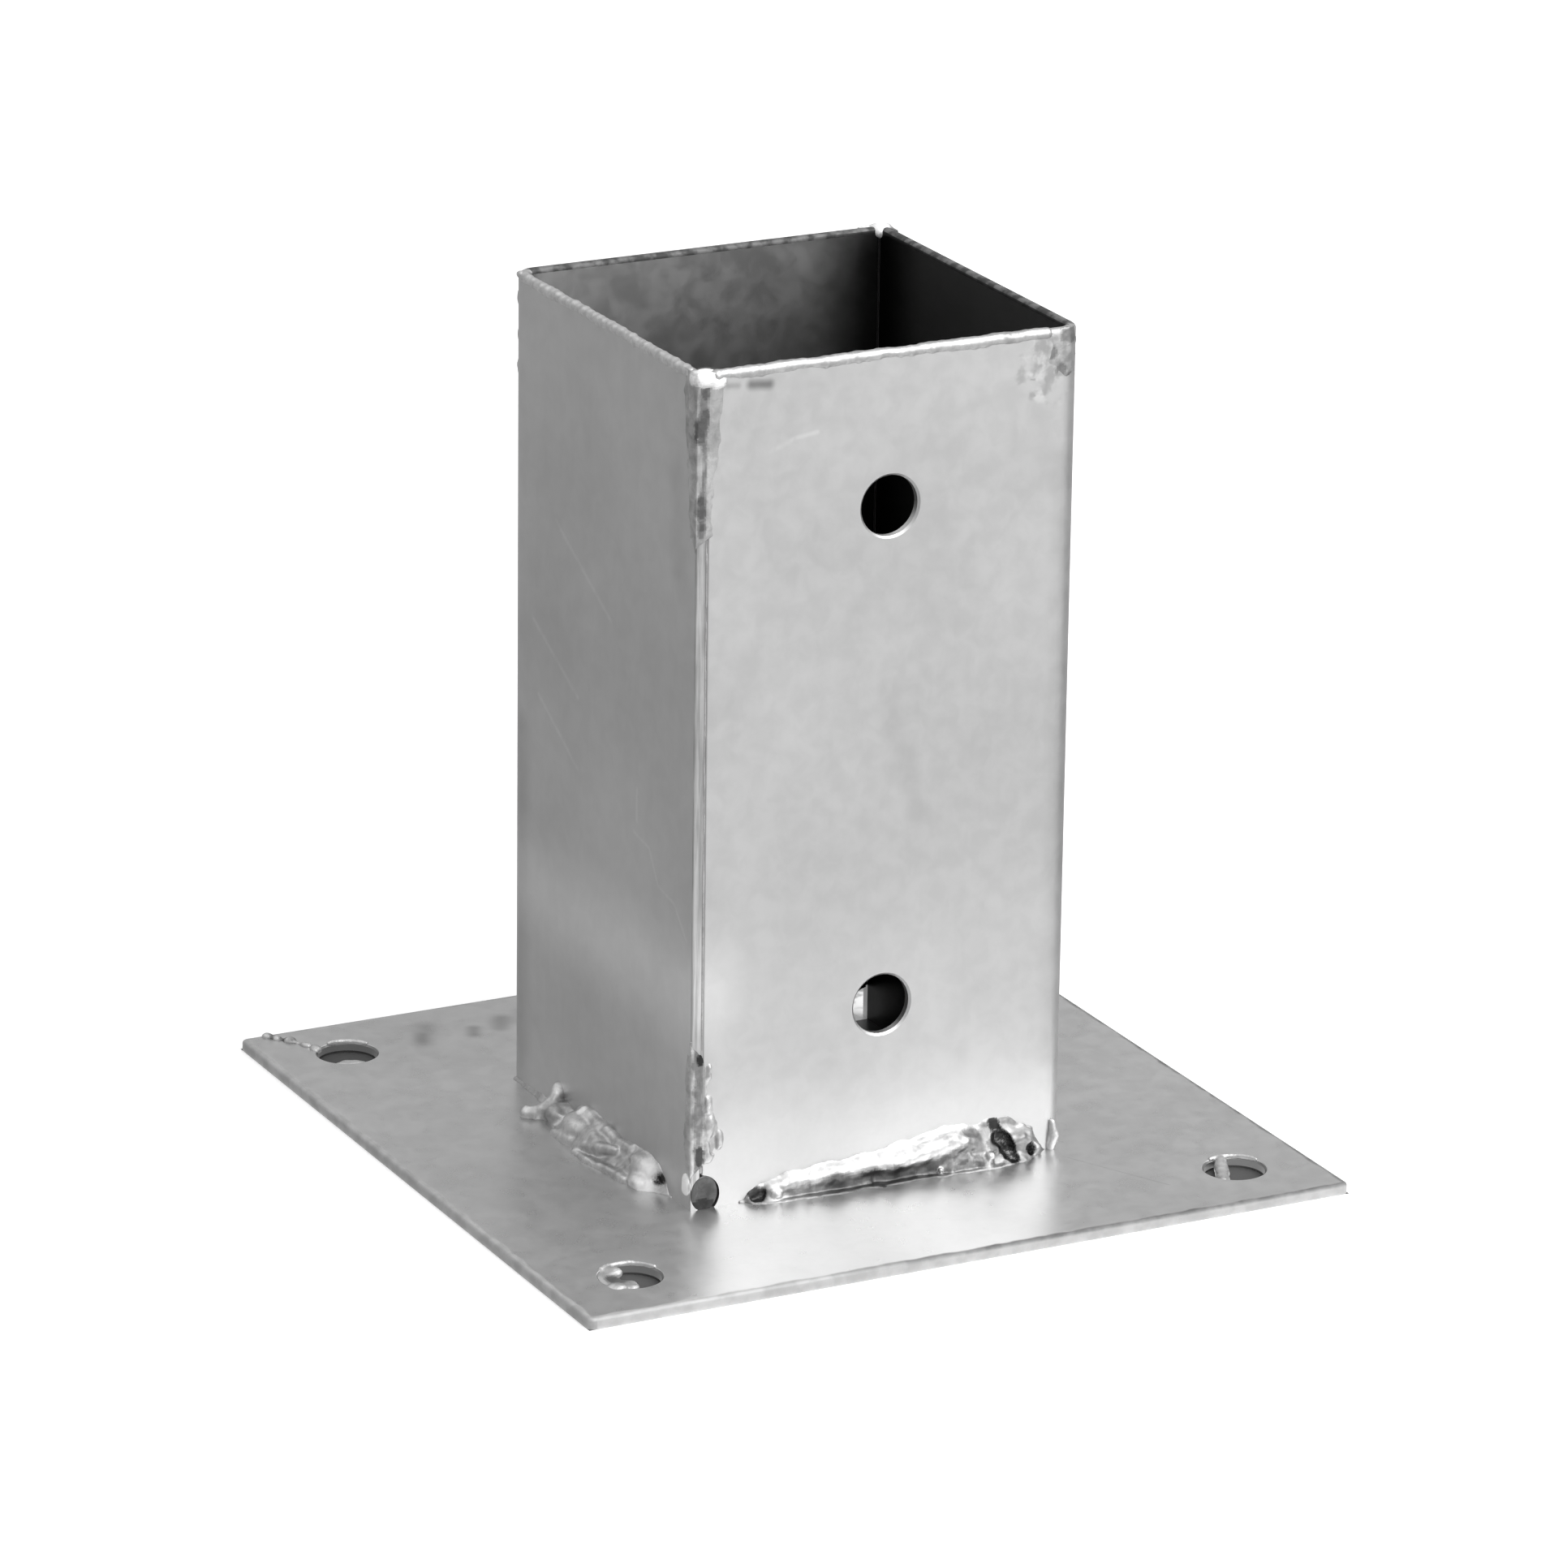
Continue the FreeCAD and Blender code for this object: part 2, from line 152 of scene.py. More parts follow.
SHEET_SMEARS_AND_LIGHT = (
    (((-37.5, -30, 136), (-37.5, -31, 118)), 5, -0.05),
    # Broad bands by height on the plain wall at -X and low on the front wall: painted reflection, darker and
    # lighter
    (((-37.5, 36, 90), (-37.5, -36, 90)), 24, -0.05),
    (((-37.5, 37, 42), (-37.5, -37, 42)), 15, 0.17),
    (((-30, -37.5, 40), (24, -37.5, 40)), 26, 0.05),
    # A darker strip beside the bend: painted shade
    (((34.5, -37.5, 130), (34.5, -37.5, 20)), 4, -0.07),
    (((-0.4, -37.5, 93.6), (6.4, -37.5, 70.1)), 4, -0.04),
    # A darker strip low beside the far bend: painted shade
    (((-37.5, 33, 70), (-37.5, 33, 4)), 6, -0.09),
    # Darker marks under the front rim's run of zinc: painted shadow
    (((-31.8, -37.5, 152.4), (-29.8, -37.5, 152.2)), 1, -0.16),
    (((-27.2, -37.5, 152.1), (-23.8, -37.5, 151.8)), 1.6, -0.36),
)
PLATE_MARKS = (
    (((35, -42.1, 2), (45.4, -62.2, 2)), 0.3, -0.1),
)
PLATE_SMEARS = (
    (((-45.2, 59, 2), (-41.4, 66.5, 2)), 3.6, -0.16),
    (((-44.9, 60, 2), (-43.6, 62.6, 2)), 2.2, -0.1),
    (((-34.8, 59, 2), (-33.4, 61.8, 2)), 2.4, -0.22),
    (((-28.8, 60.2, 2), (-26.6, 64.6, 2)), 3.2, -0.22),
    (((-23.8, 61.8, 2), (-21.4, 66.6, 2)), 3.2, -0.08),
)

# Grown metal, in millimetres. A hole's run is so far from its centre, so high and so thick.
GRID = 0.22
FAR = 50.0
SEAT_DEPTH = 0.25
FOOT_SKIN = 0.25
CRUMB_POINTS = 60
RIM_LIFT = 0.4
DROP_TOP = 155.5
CORNER_METAL_TOP = 153.2
RUN_STEP = 2.0
HOLE_RUN = (5.9, 2.0, 0.45)
HOLE_RUN_STEP = 8


# Shader helpers

class Shader:
    """Builds the node tree of a material or of the world."""

    def __init__(self, owner):
        self.owner = owner
        owner.use_nodes = True
        self.tree = owner.node_tree
        self.tree.nodes.clear()

    def add(self, kind, inputs=None, **settings):
        """Add a node. An input is a plain value or another node's output."""
        node = self.tree.nodes.new("ShaderNode" + kind)
        for name, value in settings.items():
            setattr(node, name, value)
        for name, value in (inputs or {}).items():
            if isinstance(value, bpy.types.NodeSocket):
                self.tree.links.new(value, node.inputs[name])
            else:
                node.inputs[name].default_value = value
        return node

    def own_place(self):
        """Where a point is in its own object: as a vector, and as X, Y and Z."""
        where = self.add("TexCoord").outputs["Object"]
        return where, self.add("SeparateXYZ", {"Vector": where}).outputs

    def math(self, operation, first, second=0, clamp=False):
        node = self.add("Math", {0: first, 1: second}, operation=operation, use_clamp=clamp)
        return node.outputs[0]

    def plus(self, first, second):
        return self.math("ADD", first, second)

    def times(self, first, second):
        return self.math("MULTIPLY", first, second)

    def vector(self, operation, first, second=(0, 0, 0), result="Value"):
        return self.add("VectorMath", {0: first, 1: second}, operation=operation).outputs[result]

    def noise(self, where, scale, detail=3, roughness=0.5, distortion=0):
        inputs = {"Vector": where, "Scale": scale, "Detail": detail, "Roughness": roughness,
                  "Distortion": distortion}
        return self.add("TexNoise", inputs).outputs["Fac"]

    def span(self, value, low, high, to_low, to_high, kind="SMOOTHSTEP"):
        """Map a value from one span to another, smoothly and held at the ends."""
        inputs = {"Value": value, "From Min": low, "From Max": high, "To Min": to_low, "To Max": to_high}
        return self.add("MapRange", inputs, interpolation_type=kind).outputs["Result"]

    def ramp(self, value, stops):
        """Map 0 to 1 through (place, tone) stops."""
        node = self.add("ValToRGB", {"Fac": value})
        points = node.color_ramp.elements
        for place, tone in stops[2:]:
            points.new(place)
        for point, (place, tone) in zip(points, stops):
            point.position = place
            point.color = (tone, tone, tone, 1)
        return node.outputs["Color"]

    def choose(self, mask, plain, chosen):
        """The plain value where the mask is 0 and the chosen one where it is 1."""
        return self.add("Mix", {"Factor": mask, "A": plain, "B": chosen}).outputs["Result"]

    def grey(self, value):
        return self.add("CombineColor", {"Red": value, "Green": value, "Blue": value}).outputs["Color"]

    def stretch(self, where, scales):
        return self.add("Mapping", {"Vector": where, "Scale": scales}).outputs["Vector"]

    def bump(self, height, strength, distance):
        inputs = {"Height": height, "Strength": strength, "Distance": distance}
        return self.add("Bump", inputs).outputs["Normal"]

    def glow(self, strength):
        """White light of this strength."""
        inputs = {"Color": (1, 1, 1, 1), "Strength": strength}
        return self.add("Emission", inputs).outputs["Emission"]

    def metal(self, color, metallic, roughness, normal):
        inputs = {"Base Color": color, "Metallic": metallic, "Roughness": roughness, "Normal": normal}
        return self.add("BsdfPrincipled", inputs).outputs["BSDF"]

    def finish(self, surface, kind="OutputMaterial"):
        """Show this surface, and hand back the material or the world."""
        self.add(kind, {"Surface": surface})
        return self.owner


def new_shader(name):
    return Shader(bpy.data.materials.new(name))


def square_reach(shader, place):
    """How far a point is from the part's upright axis, along X or along Y, whichever is more."""
    return shader.math("MAXIMUM", shader.math("ABSOLUTE", place["X"]), shader.math("ABSOLUTE", place["Y"]))


def inside_painted_shade(shader, where, place):
    """Painted shade inside the sleeve: darker with depth, towards the far corner and on the wall at +X."""
    inner = shader.math("LESS_THAN", square_reach(shader, place), SOCKET_HALF + FACE_SLACK)
    right = shader.math("GREATER_THAN", place["X"], SOCKET_HALF - FACE_SLACK)
    across = shader.span(place["X"], -SOCKET_HALF, SOCKET_HALF, *INSIDE_SHADE_TONES)
    across = shader.times(across, shader.choose(right, 1, INSIDE_RIGHT_SHADE))
    depth = shader.span(place["Z"], INSIDE_SHADE_HEIGHT, RIM_HEIGHT, DEEP_SHADE_TONE, 1, "LINEAR")
    in_plan = shader.stretch(where, (1, 1, 0))
    gap = shader.vector("DISTANCE", in_plan, (SOCKET_HALF, SOCKET_HALF, 0))
    corner = shader.span(gap, *FAR_CORNER_SHADE_REACH, FAR_CORNER_SHADE_TONE, 1)
    tone = shader.times(shader.times(across, depth), corner)
    return shader.choose(inner, 1, tone)


def far_rim(shader, where, place):
    """The rims of the two far walls are dull and rough: their tone, and the mask of where they are."""
    beyond = shader.math("GREATER_THAN", shader.plus(place["X"], place["Y"]), MM)
    mask = shader.times(beyond, shader.math("GREATER_THAN", place["Z"], RIM_HEIGHT - RIM_ROUND))
    tone = shader.span(shader.noise(where, 500), 0.35, 0.65, *FAR_RIM_TONES)
    return shader.choose(mask, 1, tone), mask


def scored_edges(shader, where, place):
    """The sheets' cut edges are darker and scored along their length."""
    beyond_x = shader.math("GREATER_THAN", shader.math("ABSOLUTE", place["X"]), SOCKET_HALF - FACE_SLACK / 2)
    cut_edge = SLEEVE_HALF_MM * MM - CUT_EDGE_DEPTH
    beyond_y = shader.math("GREATER_THAN", shader.math("ABSOLUTE", place["Y"]), cut_edge)
    scores = shader.noise(shader.stretch(where, (1, 1, 0.04)), 1500, 3, 0.6)
    scores = shader.span(scores, 0.35, 0.65, *CUT_EDGE_TONES)
    return shader.choose(shader.times(beyond_x, beyond_y), 1, scores)


def stroke(shader, where, start, end, width):
    """1 on a line between two points, fading to 0 at its sides."""
    run = Vector(end) - Vector(start)
    offset = shader.vector("SUBTRACT", where, start, "Vector")
    share = shader.vector("DOT_PRODUCT", offset, run / run.length_squared)
    share = shader.math("MINIMUM", shader.math("MAXIMUM", share, 0), 1)
    nearest = shader.add("VectorMath", {0: run, "Scale": share}, operation="SCALE")
    return shader.span(shader.vector("DISTANCE", offset, nearest.outputs["Vector"]), 0, width, 1, 0)


def marks(shader, where, lines):
    """The change of tone made by marks, each (points in mm, half width in mm, change)."""
    total = 0.0
    for points, width, change in lines:
        mask = 0.0
        for first, second in zip(points, points[1:]):
            first, second = [[value * MM for value in point] for point in (first, second)]
            mask = shader.math("MAXIMUM", mask, stroke(shader, where, first, second, width * MM))
        total = shader.plus(total, shader.times(mask, change))
    return total


def plate_edge_mask(shader, where, reach):
    """1 on the plate's outer edge, fading to 0 at a border that wanders on its upper face."""
    wobble = shader.span(shader.noise(where, 150), 0.3, 0.7, -0.3 * MM, 0.3 * MM)
    border = shader.math("SUBTRACT", PLATE_HALF - PLATE_EDGE_WIDTH, reach)
    return shader.span(shader.plus(border, wobble), -0.3 * MM, 0.5 * MM, 1, 0)


def plate_edge_shade(shader, where, place):
    """Painted shade on the plate's outer edge: the sides below, their rounded top above, and random patches
    on both.
    """
    upper = shader.span(place["X"], *PLATE_UPPER_SHADE_SPAN, *PLATE_UPPER_SHADES)
    is_left = shader.math("LESS_THAN", place["X"], 1.5 * MM - PLATE_HALF)
    low = shader.choose(is_left, *PLATE_SIDE_SHADES)
    high = shader.choose(is_left, upper, PLATE_LEFT_SHADE)
    share = shader.span(place["Z"], (PLATE_TOP_MM - 0.7) * MM, (PLATE_TOP_MM - 0.15) * MM, 0, 1)
    patches = shader.span(shader.noise(where, 330), 0.35, 0.65, -0.08, 0.06)
    return shader.plus(shader.choose(share, low, high), patches)


def plate_painted_shade(shader, where, place):
    """Painted shade on the plate under the sleeve, in its holes and on its edge, where it is also dull: its
    tone, and the edge's mask.
    """
    reach = square_reach(shader, place)
    tone = shader.choose(shader.math("LESS_THAN", reach, SOCKET_HALF), 1, DEEP_SHADE_TONE)
    below = shader.math("LESS_THAN", place["Z"], (PLATE_TOP_MM - 0.1) * MM)
    hole = shader.times(below, shader.math("LESS_THAN", reach, PLATE_HALF - 2 * MM))
    tone = shader.times(tone, shader.choose(hole, 1, HOLE_WALL_SHADE))
    edge = plate_edge_mask(shader, where, reach)
    edge_shade = shader.choose(edge, 1, plate_edge_shade(shader, where, place))
    return shader.times(tone, edge_shade), edge


def soft_spot(shader, where, reaches, spot_mm, scale):
    """1 in a spot with an uneven border. spot_mm holds its middle in two directions and its radius."""
    *middle, radius = [value * MM for value in spot_mm]
    offsets = [shader.math("SUBTRACT", *pair) for pair in zip(reaches, middle)]
    squares = [shader.times(offset, offset) for offset in offsets]
    distance = shader.math("SQRT", shader.plus(*squares))
    wobble = shader.span(shader.noise(where, scale, 2), 0.3, 0.7, -0.3 * radius, 0.3 * radius)
    return shader.span(shader.plus(distance, wobble), 0.6 * radius, radius, 1, 0)


def corner_blotches(shader, where, place):
    """Change of tone in the blotchy zinc at the top of the holed wall, beside the bend."""
    spot = soft_spot(shader, where, (place["X"], place["Z"]), CORNER_SPOT_MM, 300)
    spot = shader.times(spot, shader.math("LESS_THAN", place["Y"], -SOCKET_HALF))
    return shader.times(spot, shader.span(shader.noise(where, 520, 2), 0.34, 0.66, -0.17, 0.1))


def drain_highlight(shader, where, place):
    """Mask of a painted highlight, white zinc colour on the plate at the far drain notch."""
    return soft_spot(shader, where, (place["X"], place["Y"]), DRAIN_HIGHLIGHT_MM, 260)


def cloudiness(shader, where, mottle):
    """Change of tone in soft clouds, fine mottles and upright streaks."""
    clouds = shader.noise(where, 22, 3, 0.55)
    streaks = shader.noise(shader.stretch(where, (1, 1, 0.15)), 160, 3, 0.6)
    change = shader.span(clouds, 0.3, 0.7, -0.035, 0.035)
    change = shader.plus(change, shader.span(mottle, 0.3, 0.7, -0.02, 0.02))
    return shader.plus(change, shader.span(streaks, 0.3, 0.7, -0.006, 0.006))


def zinc(name, tone, roughness, scratches, smears_and_light, is_sheet):
    """Zinc on a sheet or on the plate: cloudy, uneven in gloss, marked by handling, dull in places, with
    painted shade and highlights.
    """
    shader = new_shader(name)
    where, place = shader.own_place()
    mottle = shader.noise(where, 240, 4, 0.6, 0.4)
    broken = shader.span(shader.noise(where, 420, 2), 0.3, 0.6, 0.3, 1)
    change = shader.times(marks(shader, where, scratches), broken)
    change = shader.plus(cloudiness(shader, where, mottle), change)
    change = shader.plus(change, marks(shader, where, smears_and_light))
    value = shader.plus(change, tone)
    if is_sheet:
        # Painted shade inside the sleeve
        value = shader.times(value, inside_painted_shade(shader, where, place))
        value = shader.times(value, scored_edges(shader, where, place))
        value = shader.plus(value, corner_blotches(shader, where, place))
        shade_and_rim, edge = far_rim(shader, where, place)
        highlight = 0.0
    else:
        # Painted shade on the plate, and a painted highlight at the drain notch
        shade_and_rim, edge = plate_painted_shade(shader, where, place)
        highlight = drain_highlight(shader, where, place)
    value = shader.times(value, shade_and_rim)
    rough = shader.span(mottle, 0.3, 0.7, roughness - 0.03, roughness + 0.05)
    rough = shader.choose(edge, rough, DULL_ROUGHNESS)
    metallic = shader.span(edge, 0, 1, ZINC_METALLIC, DULL_METALLIC, "LINEAR")
    metallic = shader.choose(highlight, metallic, HIGHLIGHT_METALLIC)
    color = shader.grey(shader.choose(highlight, value, HIGHLIGHT_TONE))
    bump = shader.bump(shader.noise(where, 55, 2), 0.25, 0.3 * MM)
    return shader.finish(shader.metal(color, metallic, rough, bump))


def weld_zinc():
    """Zinc over grown metal: mottled, dark where it is sooty and where shade is painted, and white where a
    highlight is painted, held as soot below 0.
    """
    shader = new_shader("zinc_weld")
    where = shader.add("TexCoord").outputs["Object"]
    soot_and_painted_light = shader.add("Attribute", attribute_name="soot_and_painted_light").outputs["Fac"]
    mottle = shader.noise(where, 700, 4, 0.6, 0.6)
    bright = shader.span(mottle, 0.3, 0.7, 0.58, 0.76)
    value = shader.times(bright, shader.span(soot_and_painted_light, 0, 1, 1, 0.06, "LINEAR"))
    highlight = shader.math("MULTIPLY", soot_and_painted_light, -1, clamp=True)
    color = shader.grey(shader.choose(highlight, value, HIGHLIGHT_TONE))
    metallic = shader.span(highlight, 0, 1, ZINC_METALLIC, HIGHLIGHT_METALLIC, "LINEAR")
    rough = shader.span(mottle, 0.3, 0.7, 0.46, 0.32)
    return shader.finish(shader.metal(color, metallic, rough, shader.bump(mottle, 0.3, 0.2 * MM)))


def dress_nodes():
    materials = {
        "plate": zinc("zinc_plate", PLATE_TONE, PLATE_ROUGHNESS, PLATE_MARKS, PLATE_SMEARS, False),
        "sheet": zinc("zinc_sheet", SHEET_TONE, SHEET_ROUGHNESS, SHEET_MARKS, SHEET_SMEARS_AND_LIGHT, True),
        "weld": weld_zinc(),
    }
    grown = [(item.name, item) for item in bpy.data.objects if "metal" in item.name]
    for name, piece in [*frame["nodes"].items(), *grown]:
        kind = "weld" if "weld" in name or "metal" in name else "plate" if "plate" in name else "sheet"
        piece.data.materials.clear()
        piece.data.materials.append(materials[kind])


# Weld metal and zinc, grown as a field on a grid of points and skinned where the field is zero

def union(first, second, width):
    """Join two fields with a soft valley of this width."""
    share = np.clip(0.5 + 0.5 * (second - first) / width, 0, 1)
    return second + (first - second) * share - width * share * (1 - share)


def from_table(place, rows):
    """Value at a place, between the (place, value) rows of a table."""
    return np.interp(place, *zip(*rows))


def fade(distance, width):
    """1 within a shape, falling to 0 over this width outside it."""
    return np.clip(1 - distance / width, 0, 1)


def moved_back(cells, axes, steps):
    """Index of the cells that lie these steps back along two axes."""
    cells = cells.copy()
    cells[:, axes] -= steps
    return tuple(cells.T)


def as_eggs(balls, along, out, up):
    """Stretch balls of (along, out, up, radius) into eggs with these shares of their radius."""
    return [(*ball[:3], ball[3] * along, ball[3] * out, ball[3] * up) for ball in balls]


class Metal:
    """A lump held as a field in a joint's own axes: about the distance in mm to its skin, negative inside."""

    def __init__(self, low, high, seed):
        self.low = low
        self.axes = [np.arange(first, last + GRID, GRID) for first, last in zip(low, high)]
        self.along, self.out, self.up = np.meshgrid(*self.axes, indexing="ij", sparse=True)
        self.field = np.full([len(axis) for axis in self.axes], FAR)
        self.soot_and_painted_light = np.zeros(self.field.shape)
        self.random = np.random.RandomState(seed)

    def offsets(self, centre):
        return [place - middle for place, middle in zip((self.along, self.out, self.up), centre)]

    def ball(self, centre, radii):
        """Distance to an egg with these three radii."""
        parts = [offset / radius for offset, radius in zip(self.offsets(centre), radii)]
        reach = np.sqrt(sum(part ** 2 for part in parts))
        slope = np.sqrt(sum((part / radius) ** 2 for part, radius in zip(parts, radii)))
        return reach * (reach - 1) / np.maximum(slope, 1e-6)

    def egg(self, values):
        """Distance to an egg of (along, out, up) and three radii."""
        return self.ball(values[:3], values[3:])

    def bead(self, points):
        """Distance to a bead that runs through points of (along, out, up, radius)."""
        distance = np.full(self.field.shape, FAR)
        for first, second in zip(points, points[1:]):
            run = np.subtract(second[:3], first[:3])
            offsets = self.offsets(first[:3])
            share = sum(offset * step for offset, step in zip(offsets, run)) / (run @ run)
            share = np.clip(share, 0, 1)
            gap = np.sqrt(sum((offset - share * step) ** 2 for offset, step in zip(offsets, run)))
            distance = union(distance, gap - first[3] - share * (second[3] - first[3]), 0.3)
        return distance

    def fillet(self, legs, toes, crown):
        """Distance to a fillet. legs and toes give its height and width as (along, mm) points."""
        leg = from_table(self.along, legs)
        toe = from_table(self.along, toes)
        reach = (np.maximum(self.out, 0) / toe) ** crown + (np.maximum(self.up, 0) / leg) ** crown
        return (reach ** (1 / crown) - 1) * leg * toe / np.hypot(leg, toe)

    def lattice(self, cell):
        """Smooth random values between -1 and 1, one swing to a cell."""
        values = self.random.uniform(-1, 1, [int(len(axis) * GRID / cell) + 3 for axis in self.axes])
        for i, axis in enumerate(self.axes):
            place = (axis - axis[0]) / cell
            below = place.astype(int)
            share = place - below
            share = (share * share * (3 - 2 * share)).reshape([-1 if i == j else 1 for j in range(3)])
            low = np.take(values, below, axis=i)
            values = low + (np.take(values, below + 1, axis=i) - low) * share
        return values

    def add(self, distance, width=0.5):
        self.field = union(self.field, distance, width)

    def dig(self, distance, width=0.3, soot_and_painted_light=0):
        self.field = -union(-self.field, distance, width)
        self.stain_and_shade(distance, soot_and_painted_light, 0.5)

    def stain_and_shade(self, distance, soot_and_painted_light, width=0.6):
        """Soot on the skin within a shape, fading over this width. Some calls paint shade with it."""
        self.soot_and_painted_light = np.maximum(self.soot_and_painted_light, soot_and_painted_light * fade(distance, width))

    def paint_highlight(self, distance, width=0.6):
        """A painted highlight on the skin within a shape: white zinc colour, held as soot of -1."""
        share = fade(distance, width)
        self.soot_and_painted_light = self.soot_and_painted_light * (1 - share) - share

    def mottle(self, cell, low, high):
        """Patchy soot over the whole lump, and painted highlight where it runs below 0."""
        self.soot_and_painted_light = np.maximum(self.soot_and_painted_light, low + (high - low) * (0.5 + 0.5 * self.lattice(cell)))

    def line_pits(self, body, skin):
        """Add a thin skin within a body, so that no pit shows bare steel. skin holds heights above it."""
        self.add(np.maximum(body, skin), 0.1)

    def roughen(self, cell, depth):
        self.field = self.field + depth * self.lattice(cell)

    def seat(self, *faces):
        """Cut the lump just below each face that it sits on. A face is a field of heights above it."""
        for face in faces:
            self.trim(-SEAT_DEPTH - face)

    def trim(self, beyond):
        """Cut off what lies beyond a face, given as a field of heights above it."""
        self.field = np.maximum(self.field, beyond)

    def close_borders(self):
        """Keep the outermost layer of the grid clear of the lump, so that its skin is closed."""
        border = np.ones(self.field.shape, bool)
        border[1:-1, 1:-1, 1:-1] = False
        self.field[border] = np.maximum(self.field[border], GRID / 2)

    def skin(self):
        """Points and faces where the field crosses zero, and the soot at each point, which also holds painted
        shade and highlights.
        """
        self.close_borders()
        cells = tuple(count - 1 for count in self.field.shape)
        hits = np.zeros(cells)
        total = np.zeros(cells + (3,))
        crossings = []
        for axis, count in enumerate(cells):
            low = self.field.take(range(count), axis)
            high = self.field.take(range(1, count + 1), axis)
            edge = np.argwhere((low < 0) != (high < 0))
            first = low[tuple(edge.T)]
            point = edge.astype(float)
            point[:, axis] += first / (first - high[tuple(edge.T)])
            crossings.append((edge, first < 0))
            others = [i for i in range(3) if i != axis]
            for steps in ((0, 0), (0, 1), (1, 0), (1, 1)):
                cell = moved_back(edge, others, steps)
                np.add.at(hits, cell, 1)
                np.add.at(total, cell, point)
        used = np.argwhere(hits > 0)
        number = np.full(cells, -1)
        number[tuple(used.T)] = np.arange(len(used))
        points = total[tuple(used.T)] / hits[tuple(used.T)][:, None]
        faces = []
        for axis, (edge, starts_inside) in enumerate(crossings):
            others = [(axis + 1) % 3, (axis + 2) % 3]
            ring = [number[moved_back(edge, others, steps)] for steps in ((1, 1), (0, 1), (0, 0), (1, 0))]
            quad = np.stack(ring, axis=1)
            quad[~starts_inside] = quad[~starts_inside][:, ::-1]
            faces.append(quad)
        soot_and_painted_light = self.soot_and_painted_light[tuple(np.rint(points).astype(int).T)]
        return points * GRID + self.low, np.concatenate(faces), soot_and_painted_light


def without_crumbs(points, faces, soot_and_painted_light):
    """Drop the small bits that hang apart from the rest."""
    label = np.arange(len(points))
    while True:
        least = label[faces].min(axis=1)
        lower = label.copy()
        for corner in faces.T:
            np.minimum.at(lower, corner, least)
        lower = lower[lower]
        if np.array_equal(lower, label):
            break
        label = lower
    kept = np.bincount(label, minlength=len(points))[label] >= CRUMB_POINTS
    number = np.cumsum(kept) - 1
    return points[kept], number[faces[kept[faces[:, 0]]]], soot_and_painted_light[kept]


def metal_piece(name, metal, place):
    """Make a grown lump into a piece. place turns (along, out, up) columns in mm into the part's frame."""
    points, faces, soot_and_painted_light = without_crumbs(*metal.skin())
    mesh = bpy.data.meshes.new(name)
    mesh.from_pydata((place(points) * MM).tolist(), [], faces.tolist())
    mesh.attributes.new("soot_and_painted_light", "FLOAT", "POINT").data.foreach_set("value", soot_and_painted_light)
    mesh.shade_smooth()
    piece = bpy.data.objects.new(name, mesh)
    bpy.context.collection.objects.link(piece)
    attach(piece, "root")
    return piece


def turned(points, degrees):
    """Turn columns of x, y and z about the part's upright axis."""
    angle = math.radians(degrees)
    cosine, sine = math.cos(angle), math.sin(angle)
    x, y, z = points.T
    return np.stack([x * cosine - y * sine, x * sine + y * cosine, z], axis=1)


def at_foot(degrees):
    """Place a foot joint: along the wall from left to right as seen from outside."""
    def place(points):
        along, out, up = points.T
        return turned(np.stack([along, -SLEEVE_HALF_MM - out, PLATE_TOP_MM + up], axis=1), degrees)
    return place


